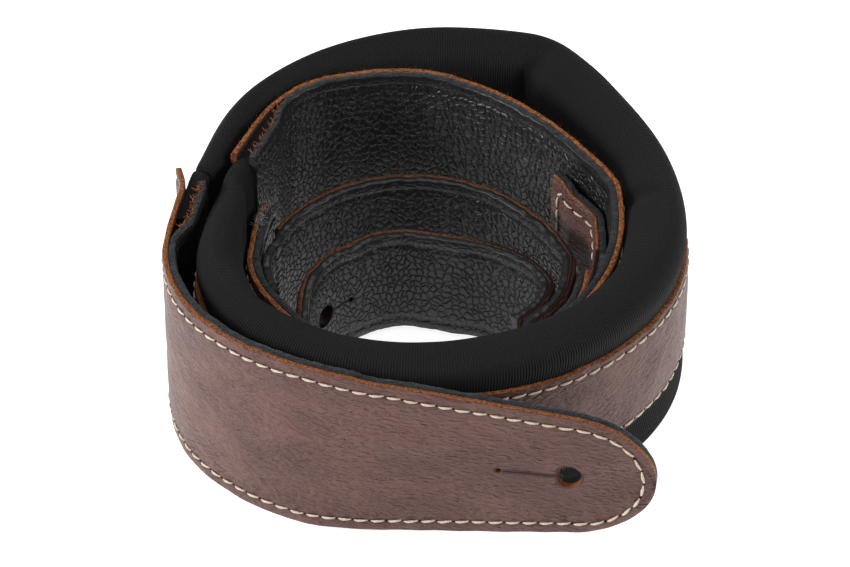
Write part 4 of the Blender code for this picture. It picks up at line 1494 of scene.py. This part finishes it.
def fill_pad(item, most=1.3 * MM):
    """Let the filling press the sleeve out, held at its two ends and under the strip."""
    mesh = item.data
    rest = np.array([v.co[:] for v in mesh.vertices])
    group = item.vertex_groups.new(name="held")
    ring = len(mesh.vertices) // len(turns(THROAT_SPAN[1], PAD_END, PAD_STEP))
    count = len(mesh.vertices) // ring
    for i in range(count):
        for k in range(ring):
            end = min(i, count - 1 - i) < 4
            under = k < PAD_ROWS and abs(rest[i * ring + k][2] - STRIP_MIDDLE_Z) < STRIP_WIDTH / 2
            if end or under:
                group.add([i * ring + k], 1.0, "REPLACE")
    cloth = item.modifiers.new("filling", "CLOTH")
    cloth.settings.quality = 5
    cloth.settings.mass = 0.2
    cloth.settings.tension_stiffness = 12
    cloth.settings.compression_stiffness = 12
    cloth.settings.bending_stiffness = 0.6
    cloth.settings.use_pressure = True
    cloth.settings.uniform_pressure_force = 4.0
    cloth.settings.vertex_group_mass = "held"
    cloth.settings.effector_weights.gravity = 0
    cloth.collision_settings.use_collision = False
    scene = bpy.context.scene
    for step in range(1, 21):
        scene.frame_set(step)
    graph = bpy.context.evaluated_depsgraph_get()
    done = item.evaluated_get(graph).data
    moved = np.array([v.co[:] for v in done.vertices])
    scene.frame_set(1)
    item.modifiers.clear()
    push = moved - rest
    size = np.linalg.norm(push, axis=1)
    push *= (np.minimum(size, most) / np.maximum(size, 1e-9))[:, None]
    mesh.vertices.foreach_set("co", (rest + push).ravel())


def finer(item, levels):
    """Smooth a mesh by subdivision."""
    step = item.modifiers.new("finer", "SUBSURF")
    step.levels = levels
    step.render_levels = levels
    bake(item)
    item.data.shade_smooth()


class STRAP_OT_pad(bpy.types.Operator):
    """Build the knitted pad, filled by a short cloth simulation"""

    bl_idname = "strap.pad"
    bl_label = "Pad"

    def execute(self, context):
        item = pad_base()
        fill_pad(item)
        finer(item, 1)
        dent(item)
        finer(item, 1)
        item.data.materials.append(finish("knit"))
        place(item, "coil", "knit", "pad_cover", "pad_foam")
        return {"FINISHED"}


class STRAP_OT_pad_strip(bpy.types.Operator):
    """Build the brown strip along the pad, with its two rows of stitches"""

    bl_idname = "strap.pad_strip"
    bl_label = "Pad strip"

    def execute(self, context):
        lifted = lambda t: pad_radius(t) + LEATHER + 0.1 * MM
        low = STRIP_MIDDLE_Z - STRIP_WIDTH / 2
        high = STRIP_MIDDLE_Z + STRIP_WIDTH / 2
        strap = Strap(coil_path(lifted, *STRIP_SPAN), fixed(low), fixed(high), 23,
                      (4.8 * MM, 2.4 * MM), 0.7 * MM)
        strap.tuck = 2.2 * MM
        s = strap.stations(0, strap.path.length, LEATHER_STEP)
        back = lambda a, z: strap.face(a, z) - LEATHER - 0.6 * MM
        outer = strap.ply("strip_leather", s, strap.face, back, LEATHER_STEP)
        coat(outer, "brown", "raw")
        rows = stitches("strip_stitches", strap,
                        side_rows(strap, 3 * MM, strap.path.length - 3 * MM))
        place(outer, "coil", "brown_leather", "pad_strip_leather")
        place(rows, "coil", "thread", "pad_strip_thread_upper", "pad_strip_thread_lower")
        return {"FINISHED"}


# ---------------------------------------------------------------- rear piece

class STRAP_OT_rear_piece(bpy.types.Operator):
    """Build the rear piece, whose mouth holds the pad's other end"""

    bl_idname = "strap.rear_piece"
    bl_label = "Rear piece"

    def execute(self, context):
        path = coil_path(rear_radius, *REAR_SPAN)
        high = lambda s: straight(REAR_TOP, path.mark_at(s)) * MM
        strap = Strap(path, fixed(REAR_BOTTOM), high, 31)
        held = TONGUE + SEWN_GAP
        opened = lambda s: held * (1 - ease(*REAR_JOINED, path.mark_at(s)))
        s = strap.stations(0, path.length, LEATHER_STEP)
        outer = outer_ply(strap, "rear_outer_leather", s)
        coat(outer, "brown", "raw")
        s = strap.stations(0, path.length, PEBBLE_STEP)
        inside = pebbled(lining_ply(strap, "rear_lining_leather", s, PEBBLE_STEP, opened))
        rows = stitches("rear_stitches", strap, side_rows(strap, 5 * MM, path.length - 4 * MM))
        place(outer, "coil", "brown_leather", "rear_leather")
        place(inside, "coil", "black_lining", "rear_lining")
        place(rows, "coil", "thread", "rear_thread_upper", "rear_thread_lower")
        place(self.frayed(strap, opened), "coil", "brown_leather")
        s = np.arange(0, path.length, FIBRE_STEP)
        place(raw_fuzz("rear_raw_fibres", strap, s, 0.9 * MM), "coil", "brown_leather")
        h = -LEATHER - LINING * 0.55 - opened(s)
        place(lining_fuzz("rear_edge_fibres", strap, s, h, 8), "coil", "black_lining")
        place(self.hairs(strap), "coil", "black_lining")
        return {"FINISHED"}

    def frayed(self, strap, opened):
        path = strap.path
        s = np.arange(path.length_at(483), path.length_at(503), TORN_STEP)
        h = -(LEATHER + 0.35 * MM) - opened(s)
        z = strap.high(s) - 0.8 * MM
        return fuzz("rear_torn_fibres", strap, s, h, z, "raw_fibre", 2.6 * MM, 0.28 * MM, 15,
                    1.1, 0.45 * MM, True)

    def hairs(self, strap):
        """Long pale hairs at the rear piece's inner end."""
        path = strap.path
        s = np.arange(path.length_at(833), path.length - 0.5 * MM, TORN_STEP)
        return fuzz("rear_end_hairs", strap, s, -LEATHER * 1.1, strap.high(s), "hair",
                    3.8 * MM, 0.16 * MM, 41, 1.2, 1.2 * MM)


# ---------------------------------------------------------------- tail

def tail_heights(path):
    """The tail's edges, which climb a little round the fold and along the folded end."""
    fold = path.length_at(1010)
    past = path.length_at(FOLD_MARK - TAIL_SPLIT)
    ends = lambda s: smooth(TAIL_END_TOP, FOLD_MARK - path.mark_at(s)) * MM

    def high(s):
        climbing = TAIL_BOTTOM + TAIL_WIDTH + 3.5 * MM * ease(fold, past, s)
        share = ease(path.length_at(1023), past, s)
        return climbing + (ends(s) - climbing) * share

    def low(s):
        climb = 3.5 * MM * ease(fold, past, s)
        share = ease(path.length_at(1023), past, s)
        return TAIL_BOTTOM + climb + (ends(s) - TAIL_WIDTH - 0.6 * MM - TAIL_BOTTOM - climb) * share

    return low, high


class STRAP_OT_tail(bpy.types.Operator):
    """Build the tail and its folded end"""

    bl_idname = "strap.tail"
    bl_label = "Tail"

    def execute(self, context):
        path = tail_path()
        low, high = tail_heights(path)
        strap = Strap(path, low, high, 47)
        strap.roll = 0.8 * MM
        split = path.length_at(FOLD_MARK - TAIL_SPLIT)
        start = path.length_at(TAIL_LEATHER_START)
        outer = outer_ply(strap, "tail_outer_leather",
                          strap.stations(start, split, LEATHER_STEP))
        coat(outer, "brown", "shaded_tail")
        inside = pebbled(lining_ply(strap, "tail_lining_leather",
                                    strap.stations(0, split, PEBBLE_STEP)), "lining")
        rows = stitches("tail_stitches", strap,
                        side_rows(strap, start + 3 * MM, path.length_at(980)))
        place(outer, "coil", "brown_leather", "tail_leather")
        place(inside, "coil", "black_lining", "tail_lining")
        place(rows, "coil", "thread", "tail_thread_upper", "tail_thread_lower")
        s = np.arange(0, split, FIBRE_STEP)
        place(lining_fuzz("tail_edge_fibres", strap, s, -LEATHER - LINING * 0.5, 9),
              "coil", "black_lining")
        self.folded_end(strap, split)
        return {"FINISHED"}

    def folded_end(self, strap, split):
        path = strap.path
        line = ((*path.at(split, 0.0), 0), (*path.at(split + BEND_LENGTH, 0.0), 0))
        outer = outer_ply(strap, "folded_end_leather",
                          strap.stations(split, path.length, LEATHER_STEP))
        coat(outer, "brown", "raw")
        inside = pebbled(lining_ply(strap, "folded_end_lining",
                                    strap.stations(split, path.length, PEBBLE_STEP)))
        end = path.length - THREAD_INSET
        s = np.arange(split + 1 * MM, end, ROW_STEP)
        turn = np.linspace(0, 1, 60)
        z = strap.high(np.array(end)) - THREAD_INSET
        bottom = strap.low(np.array(end)) + THREAD_INSET
        s_all = np.concatenate((s, np.full(60, end), s[::-1]))
        z_all = np.concatenate((strap.high(s) - THREAD_INSET, z + (bottom - z) * turn,
                                strap.low(s[::-1]) + THREAD_INSET))
        rows = stitches("folded_end_stitches", strap, [(s_all, z_all)])
        bend(((outer, "brown_leather", "tail_end_leather"),
              (inside, "black_lining", "tail_end_lining"),
              (rows, "thread", "tail_end_thread")), "tail_end", line)


class STRAP_OT_keeper(bpy.types.Operator):
    """Build the short strap end that is held inside the fold"""

    bl_idname = "strap.keeper"
    bl_label = "Keeper"

    def execute(self, context):
        path = coil_path(keeper_radius, *KEEPER_SPAN)
        strap = Strap(path, fixed(TAIL_BOTTOM), fixed(KEEPER_TOP), 53)
        s = strap.stations(0, path.length, LEATHER_STEP)
        outer = outer_ply(strap, "keeper_outer_leather", s)
        coat(outer, "brown", "raw")
        inside = pebbled(lining_ply(strap, "keeper_lining_leather", s))
        place(outer, "coil", "brown_leather", "keeper_leather")
        place(inside, "coil", "black_lining", "keeper_lining")
        return {"FINISHED"}


# ---------------------------------------------------------------- innermost strap

def end_half(s):
    u = np.clip(1 - s / END_TIP_LENGTH, 0, 1)
    return END_WIDTH / 2 * np.sqrt(np.maximum(0.0008, 1 - u * u))


class STRAP_OT_end_tab(bpy.types.Operator):
    """Build the innermost strap and its rounded tip with the second button hole"""

    bl_idname = "strap.end_tab"
    bl_label = "End tab"

    def execute(self, context):
        path = coil_path(end_radius, *END_SPAN)
        middle = END_WIDTH / 2
        low = lambda s: middle - end_half(s) + END_LIFT * ease(0, END_TIP_LENGTH * 1.5, s)
        strap = Strap(path, low, lambda s: middle + end_half(s), 61)
        strap.roll = 0.8 * MM
        split = path.length_at(END_SPLIT)
        self.coiled(strap, split)
        self.tip(strap, split, middle)
        return {"FINISHED"}

    def coiled(self, strap, split):
        end = strap.path.length
        outer = outer_ply(strap, "inner_strap_leather",
                          strap.stations(split, end, LEATHER_STEP))
        coat(outer, "brown", "shaded_end")
        inside = pebbled(lining_ply(strap, "inner_strap_lining",
                                    strap.stations(split, end, PEBBLE_STEP)), "lining")
        rows = stitches("inner_strap_stitches", strap,
                        side_rows(strap, split + 1 * MM, end - 3 * MM))
        place(outer, "coil", "brown_leather", "end_strap_leather")
        place(inside, "coil", "black_lining", "end_strap_lining")
        place(rows, "coil", "thread", "end_strap_thread_upper", "end_strap_thread_lower")
        s = np.arange(split, end, FIBRE_STEP)
        fibres = [lining_fuzz("upper", strap, s, -LEATHER - LINING * 0.5, 71),
                  fuzz("lower", strap, s, -PLY + 0.5 * MM, strap.low(s) + 0.7 * MM,
                       "lining_fibre", 1.1 * MM, 0.5 * MM, 72, 1.5, 0.4 * MM)]
        place(join("inner_strap_fibres", fibres), "coil", "black_lining")

    def tip(self, strap, split, middle):
        path = strap.path
        line = ((*path.at(split, 0.0), 0), (*path.at(split - BEND_LENGTH, 0.0), 0))
        s = strap.stations(0, split, LEATHER_STEP, END_TIP_LENGTH)
        outer = outer_ply(strap, "end_tab_outer_leather", s)
        button_hole(outer, strap, END_HOLE_FROM_TIP, END_SLIT_LENGTH, middle)
        coat(outer, "brown", "shaded_end")
        s = strap.stations(0, split, PEBBLE_STEP, END_TIP_LENGTH)
        inside = lining_ply(strap, "end_tab_lining_leather", s)
        button_hole(inside, strap, END_HOLE_FROM_TIP, END_SLIT_LENGTH, middle)
        pebbled(inside, "lining")
        side = np.arange(END_TIP_LENGTH, split - 1 * MM, ROW_STEP)
        a = np.linspace(0, math.pi, 70)[1:-1]
        reach, rise = END_TIP_LENGTH - THREAD_INSET, middle - THREAD_INSET
        level = np.full(side.shape, rise)
        lower = strap.low(side[::-1]) + THREAD_INSET - middle
        route = (np.concatenate((side[::-1], END_TIP_LENGTH - reach * np.sin(a), side)),
                 np.concatenate((lower, -rise * np.cos(a), level)) + middle)
        rows = stitches("end_tab_stitches", strap, [route])
        bend(((outer, "brown_leather", "end_tab_leather"),
              (inside, "black_lining", "end_tab_lining"),
              (rows, "thread", "end_tab_thread")), "end_tab", line)


# ---------------------------------------------------------------- stage

class STRAP_OT_stage(bpy.types.Operator):
    """Set up the pale floor, the soft lights and the camera"""

    bl_idname = "strap.stage"
    bl_label = "Stage"

    def execute(self, context):
        self.floor()
        self.lights()
        self.camera(context.scene)
        context.scene.view_settings.view_transform = "Standard"
        return {"FINISHED"}

    def floor(self):
        reach, depth = 6.0, -0.2 * MM
        item = put("floor", [(-reach, -reach, depth), (reach, -reach, depth),
                             (reach, reach, depth), (-reach, reach, depth)],
                   [(0, 1, 2, 3)])
        f = Finish("pale_floor", roughness=0.9, specular=0.0)
        f.shader["Base Color"].default_value = (0.8, 0.8, 0.8, 1)
        f.shader["Emission Color"].default_value = (1, 1, 1, 1)
        f.shader["Emission Strength"].default_value = 0.85
        item.data.materials.append(f.material)

    def lights(self):
        world = bpy.data.worlds.new("studio")
        bpy.context.scene.world = world
        world.use_nodes = True
        world.node_tree.nodes["Background"].inputs[0].default_value = (1, 1, 1, 1)
        world.node_tree.nodes["Background"].inputs[1].default_value = 0.22
        for name, at, size, power in (
                ("left_softbox", (-1.15, -0.30, 0.50), 0.5, 15),
                ("right_softbox", (1.15, -0.15, 0.55), 0.5, 8),
                ("front_softbox", (-0.15, -0.9, 1.3), 0.5, 3.0),
                ("top_softbox", (0.0, 0.45, 1.35), 0.7, 3.6)):
            light = bpy.data.lights.new(name, "AREA")
            light.size = size
            light.energy = power
            item = bpy.data.objects.new(name, light)
            item.location = at
            item.rotation_euler = (-Vector(at)).to_track_quat("-Z", "Y").to_euler()
            bpy.context.scene.collection.objects.link(item)

    def camera(self, scene):
        """Look down at 40 degrees from 1.3 m, a little above the coil's base."""
        camera = bpy.data.cameras.new("camera")
        camera.lens = 165.2
        camera.sensor_width = 36
        item = bpy.data.objects.new("camera", camera)
        tilt, distance = math.radians(40), 1.30
        item.location = (0.0007, 0.0003 - distance * math.cos(tilt), distance * math.sin(tilt))
        lift = 23.73 * MM  # square to the view, from the floor to the middle of the frame
        aim = Vector((-0.8 * MM, 0.3 * MM, 0.0)) + Vector(
            (0, math.sin(tilt), math.cos(tilt))) * lift
        item.rotation_euler = (aim - item.location).to_track_quat("-Z", "Y").to_euler()
        scene.collection.objects.link(item)
        scene.camera = item


class STRAP_PT_panel(bpy.types.Panel):
    """Lists the strap's sizes, colours and pieces"""

    bl_idname = "STRAP_PT_panel"
    bl_label = "Rolled guitar strap"
    bl_space_type = "VIEW_3D"
    bl_region_type = "UI"
    bl_category = "Strap"

    def draw(self, context):
        column = self.layout.column()
        for group in (context.scene.strap_sizes, context.scene.strap_colours):
            for name in group.__annotations__:
                column.prop(group, name)
        for operator in OPERATORS:
            column.operator(operator.bl_idname)


OPERATORS = (STRAP_OT_pad, STRAP_OT_front_tab, STRAP_OT_pad_strip, STRAP_OT_rear_piece,
             STRAP_OT_tail, STRAP_OT_keeper, STRAP_OT_end_tab, STRAP_OT_stage)
CLASSES = (StrapSizes, StrapColours, *OPERATORS, STRAP_PT_panel)


def register():
    for item in CLASSES:
        bpy.utils.register_class(item)
    bpy.types.Scene.strap_sizes = bpy.props.PointerProperty(type=StrapSizes)
    bpy.types.Scene.strap_colours = bpy.props.PointerProperty(type=StrapColours)


def unregister():
    del bpy.types.Scene.strap_colours
    del bpy.types.Scene.strap_sizes
    for item in reversed(CLASSES):
        bpy.utils.unregister_class(item)


def main():
    register()
    for operator in OPERATORS:
        group, name = operator.bl_idname.split(".")
        getattr(getattr(bpy.ops, group), name)()


if __name__ == "__main__":
    main()
